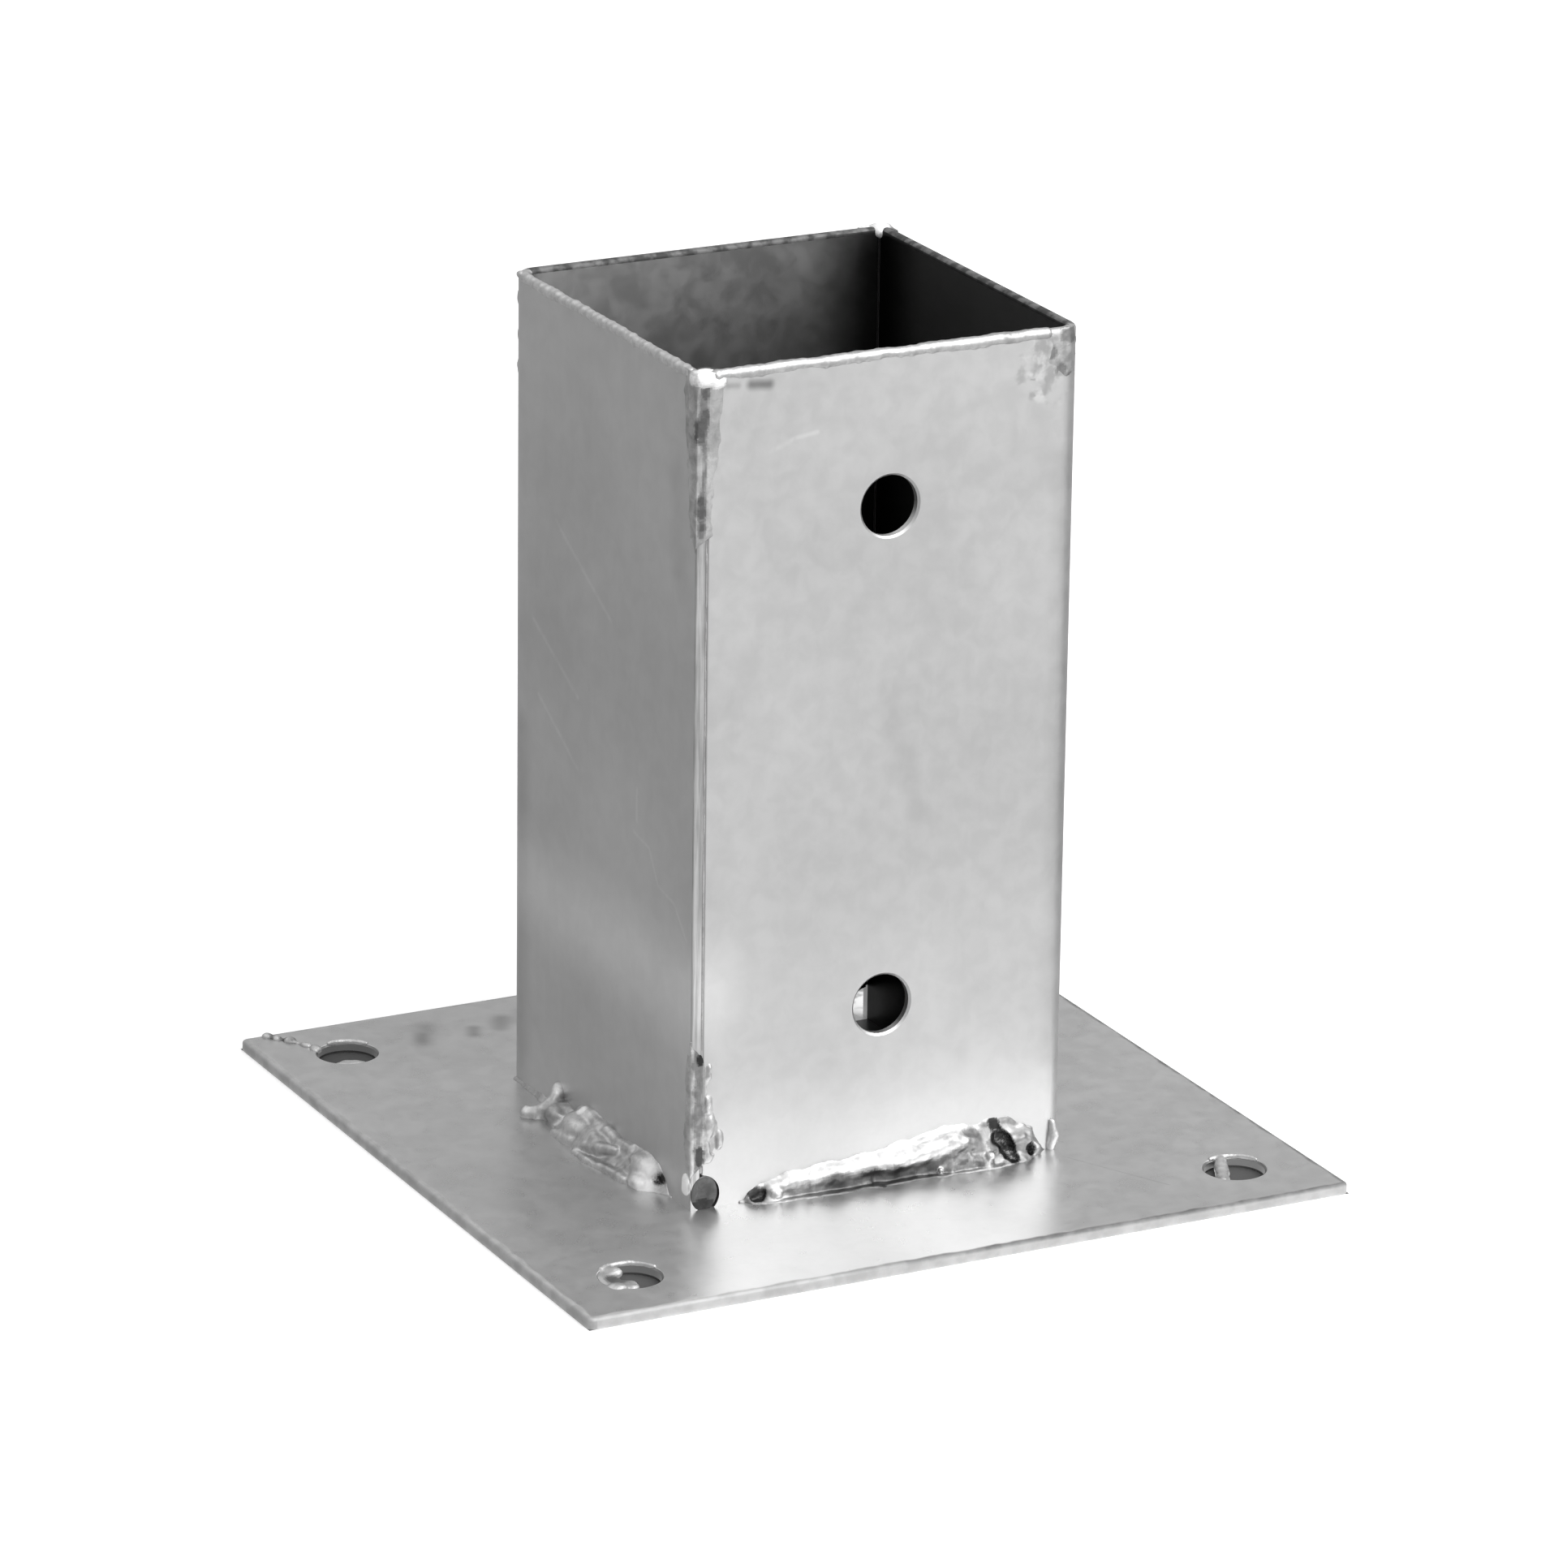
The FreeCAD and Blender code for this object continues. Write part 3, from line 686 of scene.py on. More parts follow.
def holed_foot_metal(seed):
    """Weld at the foot of a holed wall: a lip over a band of painted shade, beads, three painted white as
    highlights, and pits at both ends.
    """
    metal = Metal((-28, -0.7, -0.7), (34.4, 7, 10.5), seed)
    legs = [(-27, 0.2), (-26, 1.8), (-24, 2.8), (-16, 4), (-8, 4.6), (0, 5.4), (6, 6.6), (12, 7.6),
            (16, 7.4), (20, 7.4), (23, 8.2), (25.5, 8), (28, 6.2), (31, 3.6), (32.5, 1), (33.5, 0.2)]
    toes = [(-27, 0.2), (-26, 1.8), (-23, 3.2), (-16, 3.6), (-8, 3.8), (0, 4), (8, 4.3), (16, 4.6),
            (22, 4.6), (28, 3.6), (32, 1.3), (33.5, 0.2)]
    body = metal.fillet(legs, toes, 0.86) + 0.3 * metal.lattice(2.6)
    metal.add(body, 0.3)
    lip = [(-22, 0.6, 2, 0.8), (-18, 1, 2.5, 1), (-14, 1, 2.7, 1), (-10, 1.3, 2.9, 1.1),
           (-6, 1.2, 3.1, 1.1), (-2, 1.4, 3.2, 1.2), (2, 1.6, 3.3, 1.3), (6, 1.8, 3.7, 1.3),
           (10, 1.7, 4.3, 1.4), (14, 1.5, 5.2, 1.3)]
    metal.add(metal.bead(lip) + 0.55 * metal.lattice(3), 2)
    metal.roughen(4.5, 0.35)
    metal.roughen(2.2, 0.14)
    hollow = [(-20.5, 3, 0.4, 0.5), (-15, 3, 0.6, 0.8), (-7, 3.1, 0.8, 0.9), (-2, 3.2, 0.9, 1),
              (3, 3.4, 1, 1.1), (7, 3.6, 1.2, 1.3), (12, 3.7, 1.4, 1.4), (17, 3.9, 1.6, 1.5),
              (22.5, 3.9, 1.6, 1.4)]
    metal.dig(metal.bead(hollow) + 0.45 * metal.lattice(2.2), 1.2)
    masses = [(13, 2.4, 1, 1), (18, 2.4, 1.2, 1.1), (16.5, 1.4, 4.6, 1.2), (27.4, 1.6, 3.6, 1.2)]
    for egg in as_eggs(masses, 2.2, 1, 0.8):
        metal.add(metal.egg(egg) + 0.4 * metal.lattice(1.8), 2)
    metal.roughen(1.4, 0.1)
    metal.field = metal.field + np.clip((metal.along - 9) / 6, 0, 1) * 0.16 * metal.lattice(1.2)
    # Painted shade in a band under the lip, below these heights along the weld
    shade = [(-24, 1.6), (-20, 2), (-14, 1.9), (-9.3, 2.6), (-3, 2.3), (3, 2.6), (7, 2.3), (10, 2.8),
             (12.7, 3.4), (14.5, 4.4), (17.6, 5.4), (21.6, 7), (24, 9), (30, 9)]
    border = metal.up - from_table(metal.along, shade) + 0.9 * metal.lattice(2)
    depth = from_table(metal.along, [(-20, 0.55), (-9, 0.86), (10, 0.86), (15, 0.62), (30, 0.5)])
    metal.stain_and_shade(border, depth + 0.14 * metal.lattice(1.6), 1)
    beads = [(-21.3, 2, 1.2, 0.8), (10.6, 3.6, 1.1, 0.4), (20.8, 3.4, 2, 0.7), (29, 1, 4, 1.2),
             (31.2, 0.8, 1, 1)]
    for egg in as_eggs(beads, 1.2, 1, 1):
        metal.add(metal.egg(egg), 0.6)
    # The first three beads are painted white as highlights
    for egg in as_eggs(beads[:3], 1, 1, 1):
        metal.paint_highlight(metal.egg(egg), 0.5)
    stains = [(18, 1.3, 6.1, 1.6, 1.2, 0.8), (15, 3.2, 2.2, 1.4, 1.4, 0.9),
              (18.4, 3.6, 1.5, 0.9, 1.6, 1.2), (21.9, 2.4, 3.6, 1, 1.4, 1)]
    for egg in stains:
        metal.stain_and_shade(metal.egg(egg) + 0.3 * metal.lattice(1.2), 0.82, 1)
    pits = [(-24.8, 1.1, 1.4, 1.6, 1.6, 1.5, 0.95), (29.6, 1.7, 1.6, 0.9, 1.3, 1.7, 1)]
    for *egg, soot_and_painted_light in pits:
        metal.dig(metal.egg(egg) + 0.3 * metal.lattice(1.3), 0.5, soot_and_painted_light=soot_and_painted_light)
    deep_pit = [(22.8, 0.9, 6.9, 1.1), (23.6, 1.8, 4.6, 1.6), (24.6, 2.6, 2.6, 1.6), (25.6, 3.3, 0.9, 1)]
    metal.dig(metal.bead(deep_pit) + 0.35 * metal.lattice(1.2), 0.3, soot_and_painted_light=1)
    metal.line_pits(body, np.minimum(metal.out, metal.up) - FOOT_SKIN)
    metal.roughen(0.9, 0.07)
    metal.seat(metal.out, metal.up)
    return metal


def tail_metal(seed):
    """A short bead that climbs the bend beside the holed wall's weld."""
    metal = Metal((33, -0.7, -0.7), (36.8, 1.6, 6.4), seed)
    metal.add(metal.bead([(34.7, -0.1, 0.4, 0.9), (35.3, 0.1, 2.6, 1), (35, 0, 5, 0.6)]), 0.3)
    metal.roughen(0.9, 0.1)
    metal.seat(metal.out, metal.up)
    return metal


def plain_foot_metal(seed):
    """Weld at the foot of a plain wall: a crossing ridge, a dark gap, a broad lump, and an end painted white
    as highlights.
    """
    metal = Metal((-35, -0.7, -0.7), (30.5, 9, 7.2), seed)
    legs = [(-34, 0.3), (-30, 0.7), (-20, 0.9), (-16, 3), (-13, 2.4), (-10, 2.2), (-7, 4.4), (-4, 5.4),
            (0, 5.2), (4, 4.8), (7, 4), (11, 4.2), (14, 4.6), (18, 5), (22, 5.2), (25, 4.6), (27.5, 3.2),
            (29.3, 0.3)]
    toes = [(-34, 0.3), (-30, 0.7), (-24, 0.8), (-18, 1.8), (-14, 2.8), (-11, 3), (-8, 5.4), (-4, 6.3),
            (0, 5.9), (8, 6.2), (11, 5.8), (14, 5.2), (18, 4.8), (22, 4.6), (25, 3.8), (27, 1.8),
            (29.3, 0.3)]
    body = metal.fillet(legs, toes, 0.9) + 0.2 * metal.lattice(4)
    metal.add(body, 0.3)
    metal.add(metal.ball((-12.6, 1.4, 1.3), (3, 3, 2)), 1.6)
    metal.stain_and_shade(metal.ball((-12.2, 1.6, 2.2), (2.2, 3.2, 2.6)) + 0.4 * metal.lattice(1.6), 0.4, 1.2)
    metal.add(metal.bead([(-14.6, 3.6, 0.3, 1.2), (-15.4, 4.8, 0.2, 1), (-16.6, 6, 0, 0.9)]), 1)
    ridge = [(-16, 0.1, 4.5, 1.4), (-15, 0.9, 3.6, 1.3), (-14.5, 1.8, 2.7, 1.25), (-14.5, 2.8, 1.9, 1.25),
             (-14.8, 4, 1.3, 1.25), (-15.5, 5.2, 0.8, 1.25), (-16.4, 6.1, 0.6, 1.4)]
    metal.add(metal.bead(ridge) + 0.25 * metal.lattice(1.8), 0.5)
    eggs = [(-2.4, 2.4, 2, 5, 3.1, 2.7), (4.6, 2.2, 2.2, 4.6, 2.6, 2.2), (20.5, 1.2, 2.6, 3.6, 2, 2.2)]
    for egg in eggs:
        metal.add(metal.egg(egg) + 0.3 * metal.lattice(2.6), 1.4)
    ridges = [[(-6.5, 5.4, 0.3, 0.9), (-2, 5.4, 0.5, 0.9), (2, 5, 0.9, 0.9), (5, 4.6, 1.5, 1),
               (8.6, 3.6, 2.2, 1), (12, 2.4, 2.9, 0.8)],
              [(3.5, 6.2, 0.1, 0.6), (8.4, 6, 0.2, 0.7), (14.3, 4.8, 0.3, 0.8), (20, 4.2, 0.4, 0.8)],
              [(-3.4, 0.8, 4.6, 1.1), (1, 0.9, 4.2, 0.9), (5.9, 1, 4.2, 1.1), (10, 0.7, 3.6, 0.8),
               (15, 0.7, 3.9, 0.8)]]
    for points in ridges:
        metal.add(metal.bead(points) + 0.2 * metal.lattice(2), 0.9)
    metal.roughen(2.4, 0.16)
    metal.mottle(2.6, -0.1, 0.22)
    metal.add(metal.ball((22.8, 3, 0.9), (2.6, 1.7, 1.5)), 0.6)
    metal.stain_and_shade(metal.along + 17.5 + 0.8 * metal.lattice(1.6), 0.36, 1.5)
    stains = [(6.4, 3, 3.2, 3, 1.6, 1.2), (9.5, 5.2, 1.4, 3.6, 0.9, 0.9), (14.5, 4, 1.6, 4, 2, 1.6)]
    for egg in stains:
        metal.stain_and_shade(metal.egg(egg) + 0.3 * metal.lattice(1.8), 0.26, 1.4)
    # The first pit is also darkened as painted shadow beside the crossing ridge
    pits = [(-10, 1.9, 3.2, 1.4, 1.3, 1.1, 0.45), (8, 5.7, 1.4, 3.2, 0.4, 0.4, 0.4),
            (17.6, 2.8, 3, 2.2, 0.6, 0.6, 0.1), (28, 1, 2.8, 1.9, 1.2, 0.9, 1),
            (26.6, 1.1, 2.2, 1.2, 1.1, 0.8, 1)]
    for *egg, soot_and_painted_light in pits:
        metal.dig(metal.egg(egg) + 0.15 * metal.lattice(1.5), 0.6, soot_and_painted_light=soot_and_painted_light)
    metal.line_pits(body, np.minimum(metal.out, metal.up) - FOOT_SKIN)
    # Painted highlights, white, at the end and on the broad lump
    metal.paint_highlight(metal.ball((24.2, 3, 0.8), (2.6, 1.1, 0.9)) + 0.3 * metal.lattice(1.4), 0.8)
    metal.paint_highlight(metal.ball((23.4, 1.2, 2.8), (1, 0.8, 1)) + 0.3 * metal.lattice(1.4), 1.4)
    metal.paint_highlight(metal.ball((-3.3, 1.4, 5), (0.9, 0.8, 0.8)), 0.5)
    metal.roughen(0.9, 0.06)
    metal.seat(metal.out, metal.up)
    return metal


def at_corner(degrees):
    """Place an open corner: along the holed wall, along the plain wall and up, from the outer arris."""
    def place(points):
        along, out, up = points.T
        return turned(np.stack([along - SLEEVE_HALF_MM, out - SLEEVE_HALF_MM, up], axis=1), degrees)
    return place


def corner_face(metal):
    """Height above the two outer walls that meet at an open corner."""
    beyond = np.hypot(np.maximum(-metal.along, 0), np.maximum(-metal.out, 0))
    within = np.minimum(np.minimum(metal.along, metal.out), 3)
    return np.where(beyond > 0, beyond, -np.maximum(within, 0))


def crust(metal, on_holed, on_plain, thickness):
    """Distance to a film over an open corner that thins out to nothing at its borders.

    The widths on both walls are (up, mm) points, 0 at both ends.
    """
    holed = np.maximum(from_table(metal.up, on_holed), 0.01)
    plain = np.maximum(from_table(metal.up, on_plain), 0.01)
    spent = np.maximum(metal.along, 0) / holed + np.maximum(metal.out, 0) / plain
    return corner_face(metal) - thickness * (1 - 1.4 * spent ** 2)


def seam_top_metal(seed):
    """Weld over the top of an open corner: a low ridge, its sooty groove, and two drops on the rim painted
    white as highlights.
    """
    metal = Metal((-1.9, -1.9, 122), (7.4, 5.8, 156.2), seed)
    on_holed = [(124, 0), (126, 3.4), (131, 3.4), (136, 3.6), (142, 5), (149, 5.2), (154.5, 5.8)]
    on_plain = [(123, 0), (125, 1.8), (132, 3.2), (140, 4.4), (148, 5.6), (154.5, 5.2)]
    body = crust(metal, on_holed, on_plain, 0.24)
    metal.add(body, 0.2)
    metal.roughen(2.4, 0.12)
    arris = [(0.9, 1.5, 125.5, 0.9), (0.9, 1.5, 130, 1.1), (0.9, 1.5, 136, 1.15), (0.9, 1.6, 142, 1.25),
             (0.9, 1.6, 148, 1.3), (0.9, 1.4, 153.4, 1.3)]
    metal.add(metal.bead(arris) + 0.3 * metal.lattice(1.9), 0.9)
    metal.mottle(1.8, 0.05, 0.5)
    bank = metal.ball((3.6, 0, 147.5), (2.2, 2, 7)) + 0.8 * metal.lattice(1.4)
    metal.stain_and_shade(bank, 0.3, 0.8)
    groove = [(1, 126, 0.4), (1, 127.8, 0.6), (0.9, 129.4, 0.6), (0.9, 131.6, 0.75), (1.2, 134.5, 0.3),
              (1.5, 138.5, 0.2), (1.3, 142, 0.4), (0.9, 144.5, 0.8), (0.8, 146, 0.85), (1, 149, 0.7),
              (1.5, 152.2, 0.8)]
    path = metal.bead([(along, -0.3, up, radius) for along, up, radius in groove])
    metal.dig(path + 0.25 * metal.lattice(1.1), 0.8, soot_and_painted_light=0.68)
    streaks = [[(1.5, 0.1, 148.2, 0.5), (1, 0.1, 146, 0.9), (0.5, 0.1, 143.6, 0.8)],
               [(0.9, 0.1, 132.6, 0.6), (0.9, 0.1, 130, 0.7)],
               [(0.9, 0.1, 128.2, 0.5), (0.9, 0.1, 127.4, 0.5)],
               [(1.6, 0.1, 152.6, 0.6), (1.4, 0.1, 151.2, 0.6)]]
    for points in streaks:
        metal.stain_and_shade(metal.bead(points) + 0.2 * metal.lattice(1.2), 0.84, 0.9)
    metal.roughen(0.8, 0.06)
    metal.line_pits(body, corner_face(metal) - 0.12 - 0.08 * metal.lattice(1))
    metal.seat(corner_face(metal))
    metal.trim(metal.up - SLEEVE_TOP_MM - 0.1)
    # Two drops on the rim, each painted white as a highlight
    drops = [(1.4, 1, 154.1, 2, 1.8, 1.4), (3.9, 0.2, 153.4, 1.3, 0.8, 0.9)]
    for egg in drops:
        metal.add(metal.egg(egg) + 0.12 * metal.lattice(1.5), 0.8)
        metal.paint_highlight(metal.egg(egg), 0.6)
    metal.trim(metal.up - DROP_TOP)
    return metal


def seam_foot_metal(seed):
    """Weld over the foot of an open corner, above the drain notch, and the drop of zinc on its arris, painted
    white as a highlight.
    """
    metal = Metal((-1.9, -1.9, 2), (7.4, 4.6, 34), seed)
    on_holed = [(8.2, 0), (10, 2.6), (12, 5), (14, 6.2), (17, 5.2), (22, 4), (28, 3.6), (31, 2.4),
                (33, 0)]
    on_plain = [(8.2, 0), (10, 1.4), (14, 2.2), (22, 2.2), (28, 1.8), (33, 0)]
    body = crust(metal, on_holed, on_plain, 0.25)
    metal.add(body, 0.2)
    metal.roughen(2.2, 0.18)
    arris = [(1, 1.2, 10.5, 0.9), (0.9, 1.1, 16, 1.2), (1, 1, 22, 1.1), (1, 1.1, 28, 1.1),
             (1, 1.2, 31.5, 0.8)]
    metal.add(metal.bead(arris) + 0.3 * metal.lattice(1.7), 0.8)
    beads = [(3.8, 0.3, 17.6, 1), (3.8, 0.3, 12.8, 1), (5.6, 0.2, 14.6, 0.8), (3.4, 0.2, 21.6, 0.7),
             (3.6, 0.2, 27.6, 0.7)]
    for egg in as_eggs(beads, 0.9, 0.9, 2.2):
        metal.add(metal.egg(egg), 0.8)
    metal.mottle(1.4, 0, 0.4)
    strip = metal.bead([(1.4, -0.1, 9, 0.8), (1.3, -0.1, 20, 0.8), (1.4, -0.1, 33, 0.7)])
    metal.stain_and_shade(strip + 0.5 * metal.lattice(1.6), 0.68)
    # The third pit's soot is painted shadow beside a bump
    pits = [(1.9, 30.3, 0.8, 1.4, 1), (1.7, 11.9, 0.75, 2.1, 0.95), (4.3, 13.7, 0.6, 1.8, 0.4),
            (2.3, 20.5, 0.35, 3.2, 0.5), (2.3, 25.6, 0.35, 2.6, 0.5), (4.6, 27.8, 0.5, 1.4, 0.3)]
    for along, up, width, height, soot_and_painted_light in pits:
        pit = metal.ball((along, -0.35, up), (width, 0.8, height)) + 0.2 * metal.lattice(0.9)
        metal.dig(pit, 0.6, soot_and_painted_light=soot_and_painted_light)
    metal.roughen(0.8, 0.08)
    metal.line_pits(body, corner_face(metal) - 0.14)
    metal.seat(corner_face(metal))
    drop = metal.ball((-0.05, 1.5, 6.6), (0.6, 1.5, 2.2)) + 0.15 * metal.lattice(1.5)
    metal.add(drop, 0.2)
    # The drop is painted white as a highlight
    metal.paint_highlight(drop)
    return metal


def notch_metal(seed):
    """Zinc that skins over the drain notch and the edge beside it, painted near black as shade in the notch
    and black along its foot.
    """
    metal = Metal((-0.4, -0.8, 1.6), (6.2, 1.2, 8.8), seed)
    round_form = metal.ball((2.75, 0.1, 4.9), (2.7, 3, 3.35))
    metal.add(np.maximum(round_form, np.abs(metal.out - 0.15) - 0.22))
    metal.dig(metal.ball((2.9, -0.5, 5), (2.2, 0.55, 2.7)), 0.2)
    # Painted shade: the piece is near black, and black along its foot
    metal.mottle(1.4, 0.84, 0.95)
    metal.stain_and_shade(metal.ball((2.4, 0, 2.8), (2.4, 1, 1.1)), 1)
    metal.trim(PLATE_TOP_MM - 0.1 - metal.up)
    return metal


def seam_zinc(seed):
    """The zinc that closes the gap between the two sheets, a little below their faces, with painted shade
    where it lies deep.
    """
    metal = Metal((1.4, -0.3, 7), (2.8, 2.6, 154.5), seed)
    depth = 0.12 + 0.1 * metal.lattice(3)
    gap = np.maximum(np.abs(metal.along - 2.15) - 0.25, depth - metal.out)
    gap = np.maximum(gap, metal.out - 1.85)
    gap = np.maximum(gap, np.maximum(8.6 - metal.up, metal.up - 154))
    metal.add(gap)
    metal.mottle(4, 0.1, 0.4)
    # Painted shade where the zinc lies deep in the gap
    metal.stain_and_shade(1.2 - metal.out, 0.95)
    return metal


def add_welds():
    """Detailed welds in the places of the plain ones."""
    for name, degrees, make, seed in (
            ("front", 0, holed_foot_metal, 11), ("back", 180, holed_foot_metal, 12),
            ("left", -90, plain_foot_metal, 21), ("right", 90, plain_foot_metal, 22)):
        piece = metal_piece("foot_metal_" + name, make(seed), at_foot(degrees))
        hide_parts("foot_weld_" + name)
    for name, degrees, seed in (("near", 0, 31), ("far", 180, 32)):
        piece = metal_piece(f"seam_metal_{name}_top", seam_top_metal(seed), at_corner(degrees))
        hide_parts(f"seam_weld_{name}_top")
        piece = metal_piece(f"seam_metal_{name}_foot", seam_foot_metal(seed + 10), at_corner(degrees))
        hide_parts(f"seam_weld_{name}_foot")
        metal_piece(f"seam_metal_{name}_joint", seam_zinc(seed + 20), at_corner(degrees))
    metal_piece("notch_metal", notch_metal(61), at_corner(0))
    metal_piece("tail_metal", tail_metal(65), at_foot(0))


# Runs and lumps of zinc

def rim_metal(seed, first, last, radius, rough, soot_and_painted_light):
    """An uneven run of zinc on the outer edge of a wall's rim, between two places along it.

    The last argument is the span of its soot, below 0 where a highlight is painted.
    """
    top = SLEEVE_TOP_MM - PLATE_TOP_MM
    metal = Metal((first - 1, -1.8, top - 2.6), (last + 1, 1.2, top + 0.6), seed)
    count = int((last - first) / RUN_STEP)
    wobble = metal.random.uniform(-1, 1, (count, 3))
    run = [(along, -0.7 + 0.15 * w[0], top - 0.65 + 0.1 * w[1], radius * (1 + 0.12 * w[2]))
           for along, w in zip(np.linspace(first, last, count), wobble)]
    metal.add(metal.bead(run), 0.3)
    metal.roughen(2.4, rough)
    metal.roughen(0.9, rough / 3)
    metal.mottle(3, *soot_and_painted_light)
    metal.trim(metal.up - top - RIM_LIFT)
    metal.seat(np.maximum(metal.out, metal.up - top))
    return metal


def bend_face(metal, side):
    """Height above a wall that bends away at its right end, side 1, or its left end, side -1."""
    past = side * metal.along - BEND_START_MM
    round_part = np.hypot(np.maximum(past, 0), metal.out + BEND_RADIUS_MM) - BEND_RADIUS_MM
    return np.where(past > 0, round_part, metal.out)


def corner_lumps(seed):
    """Patchy lumps under the rim where the front wall meets the bend."""
    metal = Metal((25, -1.6, 140), (37.4, 1.2, 153.6), seed)
    face = bend_face(metal, 1)
    patch = metal.ball((34.4, 0, 149.5), (3.2, 3, 5.4)) + 1.6 * metal.lattice(1.6)
    metal.add(face - 0.14 * np.clip(-patch / 1.6, -1, 1), 0.2)
    metal.add(metal.ball((34, -0.15, 149), (1, 0.4, 1.8)) + 0.3 * metal.lattice(1), 0.8)
    metal.roughen(1.5, 0.16)
    metal.trim(metal.up - CORNER_METAL_TOP)
    metal.mottle(1.7, 0, 0.42)
    stains = [(34.6, 0, 151.8, 1.6, 1.5, 1.4), (31.2, 0, 148.9, 0.8, 1.5, 1),
              (33, 0, 145.6, 0.9, 1.5, 1.1), (34.8, 0, 143.6, 0.9, 1.5, 1.1)]
    for egg in stains:
        metal.stain_and_shade(metal.egg(egg) + 0.3 * metal.lattice(1), 0.62, 0.8)
    metal.seat(face)
    return metal


def edge_lumps(seed):
    """Small lumps down the bend at the left of the plain wall, and one on its rim."""
    metal = Metal((-37.4, -2.6, 133), (-31, 1.2, 153.6), seed)
    face = bend_face(metal, -1)
    lumps = [(-35, -0.85, 148.2, 0.7, 0.7, 1.9), (-35.1, -0.9, 141.5, 0.6, 0.7, 1.6),
             (-35, -0.85, 135.8, 0.7, 0.7, 2), (-34.2, -0.4, 152.7, 1.2, 0.7, 0.7)]
    for egg in lumps:
        metal.add(metal.egg(egg), 0.3)
    metal.roughen(1, 0.1)
    metal.seat(np.maximum(face, metal.up - 153))
    return metal


def plate_lumps(seed, low, high, beads, eggs, spots):
    """Zinc on the plate and in its holes, within a box from low to high.

    Beads hold (x, y, z, radius) points, eggs (x, y, z) and three radii, and sooty spots (x, y, radius).
    """
    metal = Metal(low, high, seed)
    for points in beads:
        metal.add(metal.bead(points), 0.4)
    for egg in eggs:
        metal.add(metal.egg(egg) + 0.2 * metal.lattice(1.6), 0.8)
    metal.roughen(1.4, 0.12)
    metal.mottle(1.6, 0, 0.2)
    for x, y, radius in spots:
        metal.stain_and_shade(metal.ball((x, y, PLATE_TOP_MM), (radius, radius, radius)), 0.75, 0.8)
    return metal


def hole_run(x, y, first, last):
    """A run of zinc along a plate hole's edge, between two directions in degrees."""
    reach, height, radius = HOLE_RUN
    turns = [math.radians(angle) for angle in range(first, last, HOLE_RUN_STEP)]
    return [(x + reach * math.cos(turn), y + reach * math.sin(turn), height, radius) for turn in turns]


def add_plate_zinc():
    """Films and drips in the plate holes that show, and a row of drips at the plate's far left."""
    left_eggs = [(-64.4, 64.4, 1.9, 1.3, 1.3, 0.8), (-61.6, 56.4, 1, 3.8, 1.5, 0.6)]
    near_eggs = [(-61.6, -56.3, 1.4, 1.7, 1.7, 1), (-64.2, -63.4, 1.6, 1.8, 1.6, 0.8),
                 (-63.6, -58.6, 1.2, 2, 3.4, 0.7), (-62.2, -62, 1, 2.8, 2.6, 0.6)]
    right_bead = [(60, -55, 1.3, 1.2), (58.4, -58.4, 0.7, 1.3), (57, -61.2, 0.7, 1.2),
                  (55.8, -63.4, 1.3, 0.9)]
    edge_bead = [(-70.2, 74, 1.9, 0.45), (-67.6, 70.4, 1.9, 0.4), (-65, 66, 1.9, 0.45)]
    drips = [(-70, 73.8, 1.1), (-68.9, 71.9, 0.8), (-67.2, 69.9, 1.2), (-65.4, 66.6, 1)]
    edge_eggs = [(x, y, 2, radius, radius, 0.7) for x, y, radius in drips]
    edge_spots = [(-69.4, 72.9, 0.6), (-68.2, 71, 0.6), (-67, 69.2, 0.6)]
    left_run, near_run = hole_run(-60, 60, 30, 110), hole_run(-60, -60, 20, 130)
    right_run = hole_run(60, -60, 20, 110)
    groups = {
        "left": ((-68, 53, 0.1), (-53, 68, 3.2), [left_run], left_eggs, []),
        "near": ((-67.5, -67, 0.1), (-53, -52, 3.2), [near_run], near_eggs, [(-62.6, -59.8, 1.6)]),
        "right": ((53, -66, 0.2), (68, -52, 3.2), [right_run, right_bead], [], []),
        "edge": ((-72.5, 64, 1.5), (-62, 74.95, 3.2), [edge_bead], edge_eggs, edge_spots),
    }
    for seed, (name, lumps) in enumerate(groups.items(), 71):
        metal_piece("plate_metal_" + name, plate_lumps(seed, *lumps), lambda points: points)


def add_runs():
    metal_piece("rim_metal_front", rim_metal(61, -33.5, 30.5, 1.05, 0.16, (0.05, 0.34)), at_foot(0))
    # The left rim's run is painted partly white along its length, as a highlight
    metal_piece("rim_metal_left", rim_metal(62, -33.5, 33.5, 0.95, 0.05, (-0.5, -0.1)), at_foot(-90))
    metal_piece("corner_metal", corner_lumps(63), at_foot(0))
    metal_piece("edge_metal", edge_lumps(64), at_foot(-90))
    add_plate_zinc()


# Stage, lights and camera

def add_floor():
    """White paper, with painted shade where it lies under the plate."""
    bpy.ops.mesh.primitive_plane_add(size=FLOOR_SIDE, location=(0, 0, 0))
    floor = bpy.context.object
    floor.name = "floor"
    shader = new_shader("floor_paper")
    path = shader.add("LightPath").outputs
    seen = shader.math("MAXIMUM", path["Is Camera Ray"], path["Is Glossy Ray"])
    place = shader.own_place()[1]
    beyond = shader.math("GREATER_THAN", square_reach(shader, place), PLATE_HALF)
    lift = shader.times(shader.times(seen, FLOOR_LIFT), beyond)
    color = shader.grey(shader.span(beyond, 0, 1, UNDER_PLATE_SHADE, FLOOR_TONE))
    paper = shader.add("BsdfDiffuse", {"Color": color}).outputs["BSDF"]
    both = shader.add("AddShader", {0: paper, 1: shader.glow(lift)}).outputs[0]
    floor.data.materials.append(shader.finish(both))


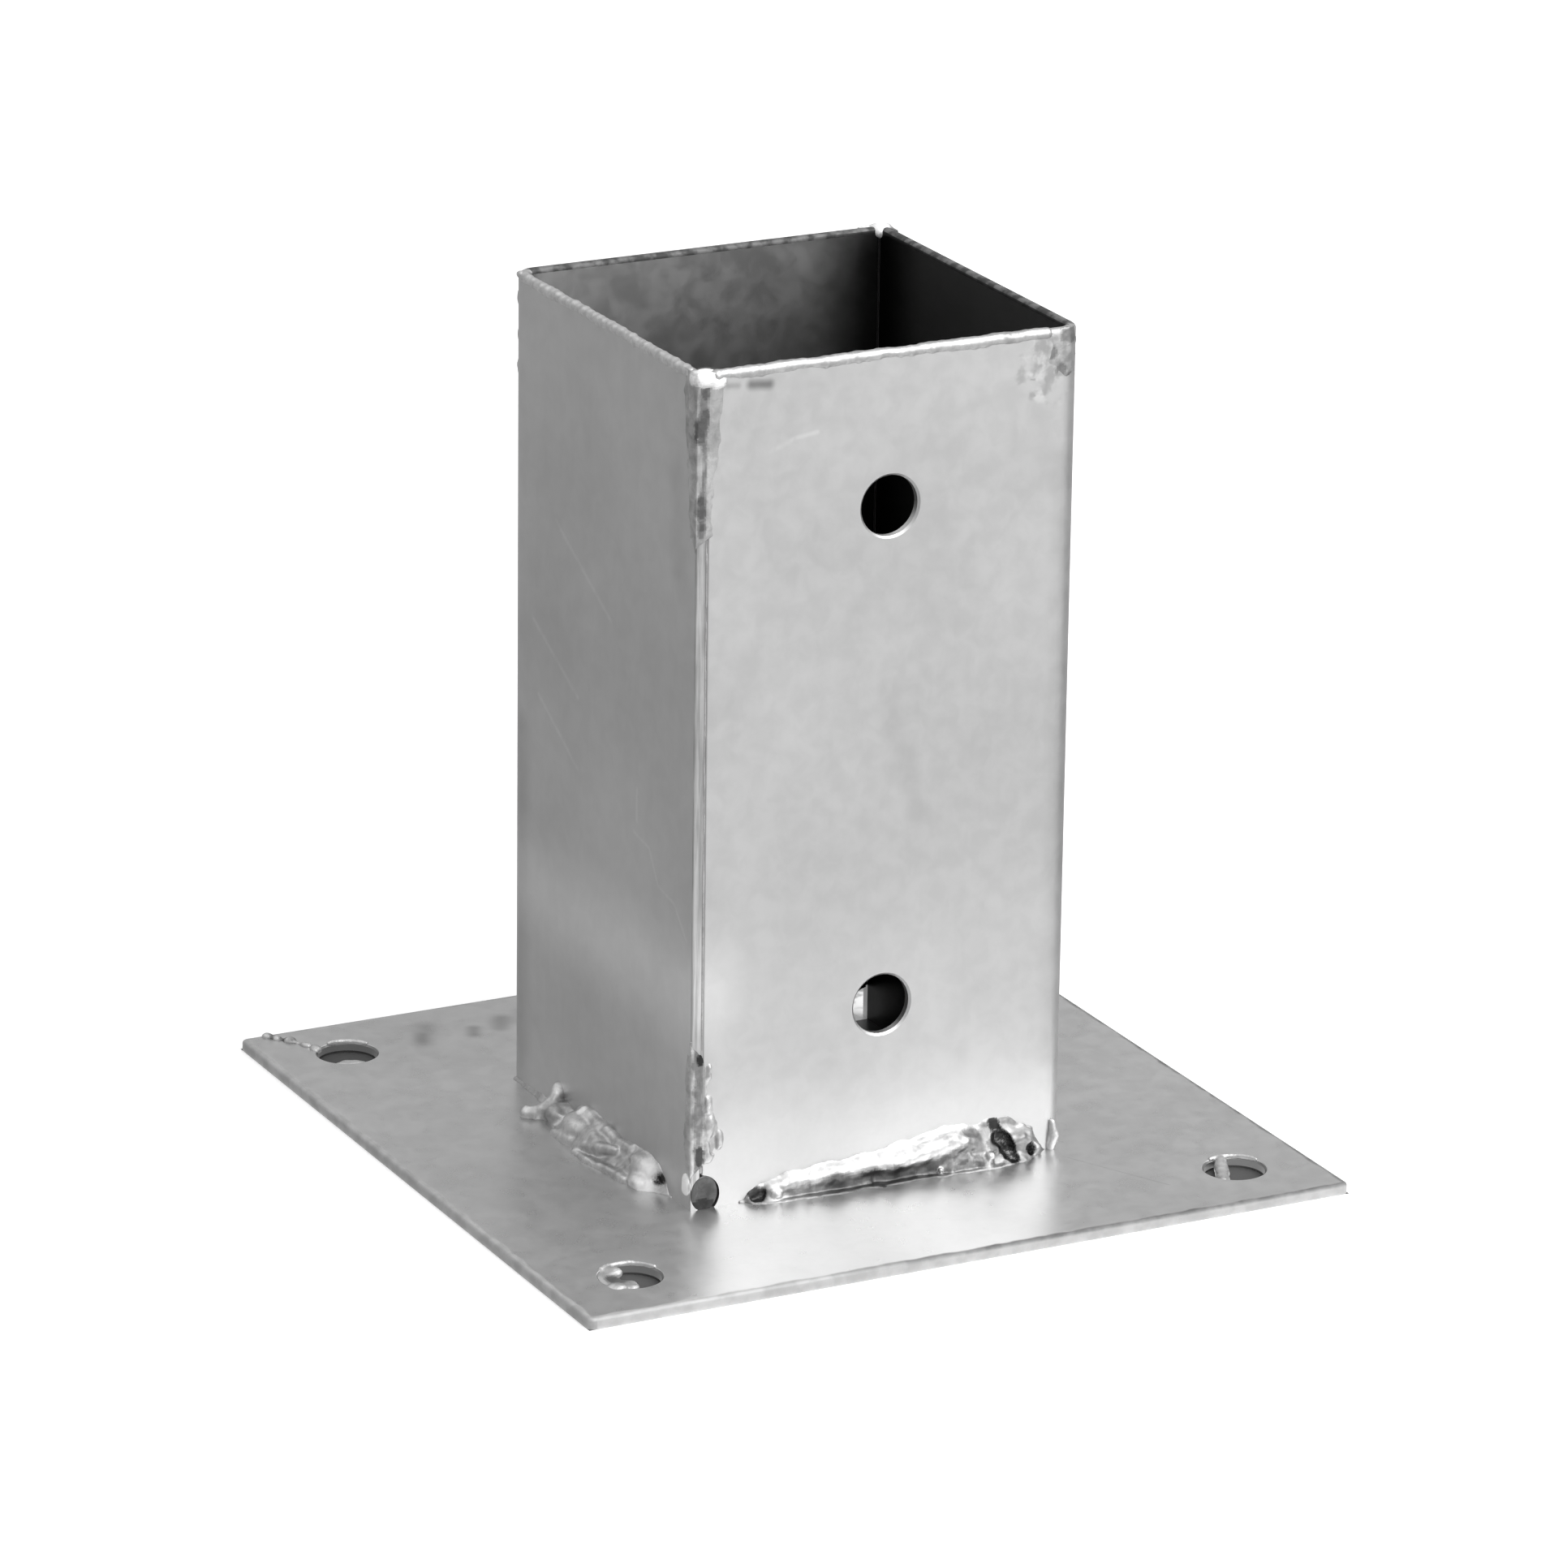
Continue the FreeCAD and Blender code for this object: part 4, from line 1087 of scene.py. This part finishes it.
def add_key_light():
    data = bpy.data.lights.new("key", "AREA")
    data.shape = "RECTANGLE"
    data.size = KEY_SIDE
    data.size_y = KEY_SIDE
    data.energy = KEY_POWER
    light = bpy.data.objects.new("key", data)
    light.location = KEY_PLACE
    light.rotation_mode = "QUATERNION"
    light.rotation_quaternion = (Vector(KEY_TARGET) - Vector(KEY_PLACE)).to_track_quat("-Z", "Y")
    bpy.context.collection.objects.link(light)


def add_world():
    """Soft surroundings: dim near the horizon, light overhead, and lightest low on the front right."""
    world = bpy.data.worlds.new("studio")
    bpy.context.scene.world = world
    shader = Shader(world)
    where = shader.add("TexCoord").outputs["Generated"]
    height = shader.add("SeparateXYZ", {"Vector": where}).outputs["Z"]
    sky = shader.ramp(height, SKY_TONES)
    facing = shader.vector("DOT_PRODUCT", where, BRIGHT_SIDE)
    strength = shader.plus(sky, shader.span(facing, 0.3, 1, 0, BRIGHT_LIFT))
    background = shader.add("Background", {"Strength": strength}).outputs["Background"]
    shader.finish(background, "OutputWorld")


def add_card():
    """A glowing card on the floor that only the part's reflections show, so that they are light in front and
    grey behind.
    """
    bpy.ops.mesh.primitive_circle_add(vertices=96, radius=CARD_RADIUS, fill_type="NGON",
                                      location=(0, 0, CARD_HEIGHT))
    card = bpy.context.object
    card.name = "card"
    shader = new_shader("glowing_card")
    where, place = shader.own_place()
    angle = shader.math("ARCTAN2", place["Y"], place["X"])
    share = shader.span(angle, -math.pi, math.pi, 0, 1, "LINEAR")
    stops = [((degrees + 180) / 360, tone) for degrees, tone in CARD_TONES]
    radius = shader.vector("LENGTH", where)
    near = shader.span(radius, *CARD_NEAR_REACH, CARD_NEAR_LIFT, 1)
    strength = shader.times(shader.ramp(share, stops), near)
    card.data.materials.append(shader.finish(shader.glow(strength)))
    for kind in ("camera", "diffuse", "shadow"):
        setattr(card, "visible_" + kind, False)


def add_camera():
    azimuth, elevation = math.radians(CAMERA_AZIMUTH), math.radians(CAMERA_ELEVATION)
    back = Vector((math.sin(azimuth) * math.cos(elevation),
                   -math.cos(azimuth) * math.cos(elevation),
                   math.sin(elevation)))
    right = Vector((0, 0, 1)).cross(back).normalized()
    turn = Matrix.Rotation(math.radians(CAMERA_ROLL), 3, back)
    right = turn @ right
    up = back.cross(right)
    data = bpy.data.cameras.new("camera")
    data.sensor_fit = "HORIZONTAL"
    data.sensor_width = 36.0
    data.lens = CAMERA_LENS
    camera = bpy.data.objects.new("camera", data)
    bpy.context.collection.objects.link(camera)
    axes = Matrix((right, up, back)).transposed().to_4x4()
    camera.matrix_world = Matrix.Translation(back * CAMERA_DISTANCE + up * CAMERA_RISE) @ axes
    bpy.context.scene.camera = camera


add_welds()
add_runs()
dress_nodes()
add_floor()
add_world()
add_card()
add_key_light()
add_camera()
bpy.context.scene.view_settings.view_transform = "Standard"
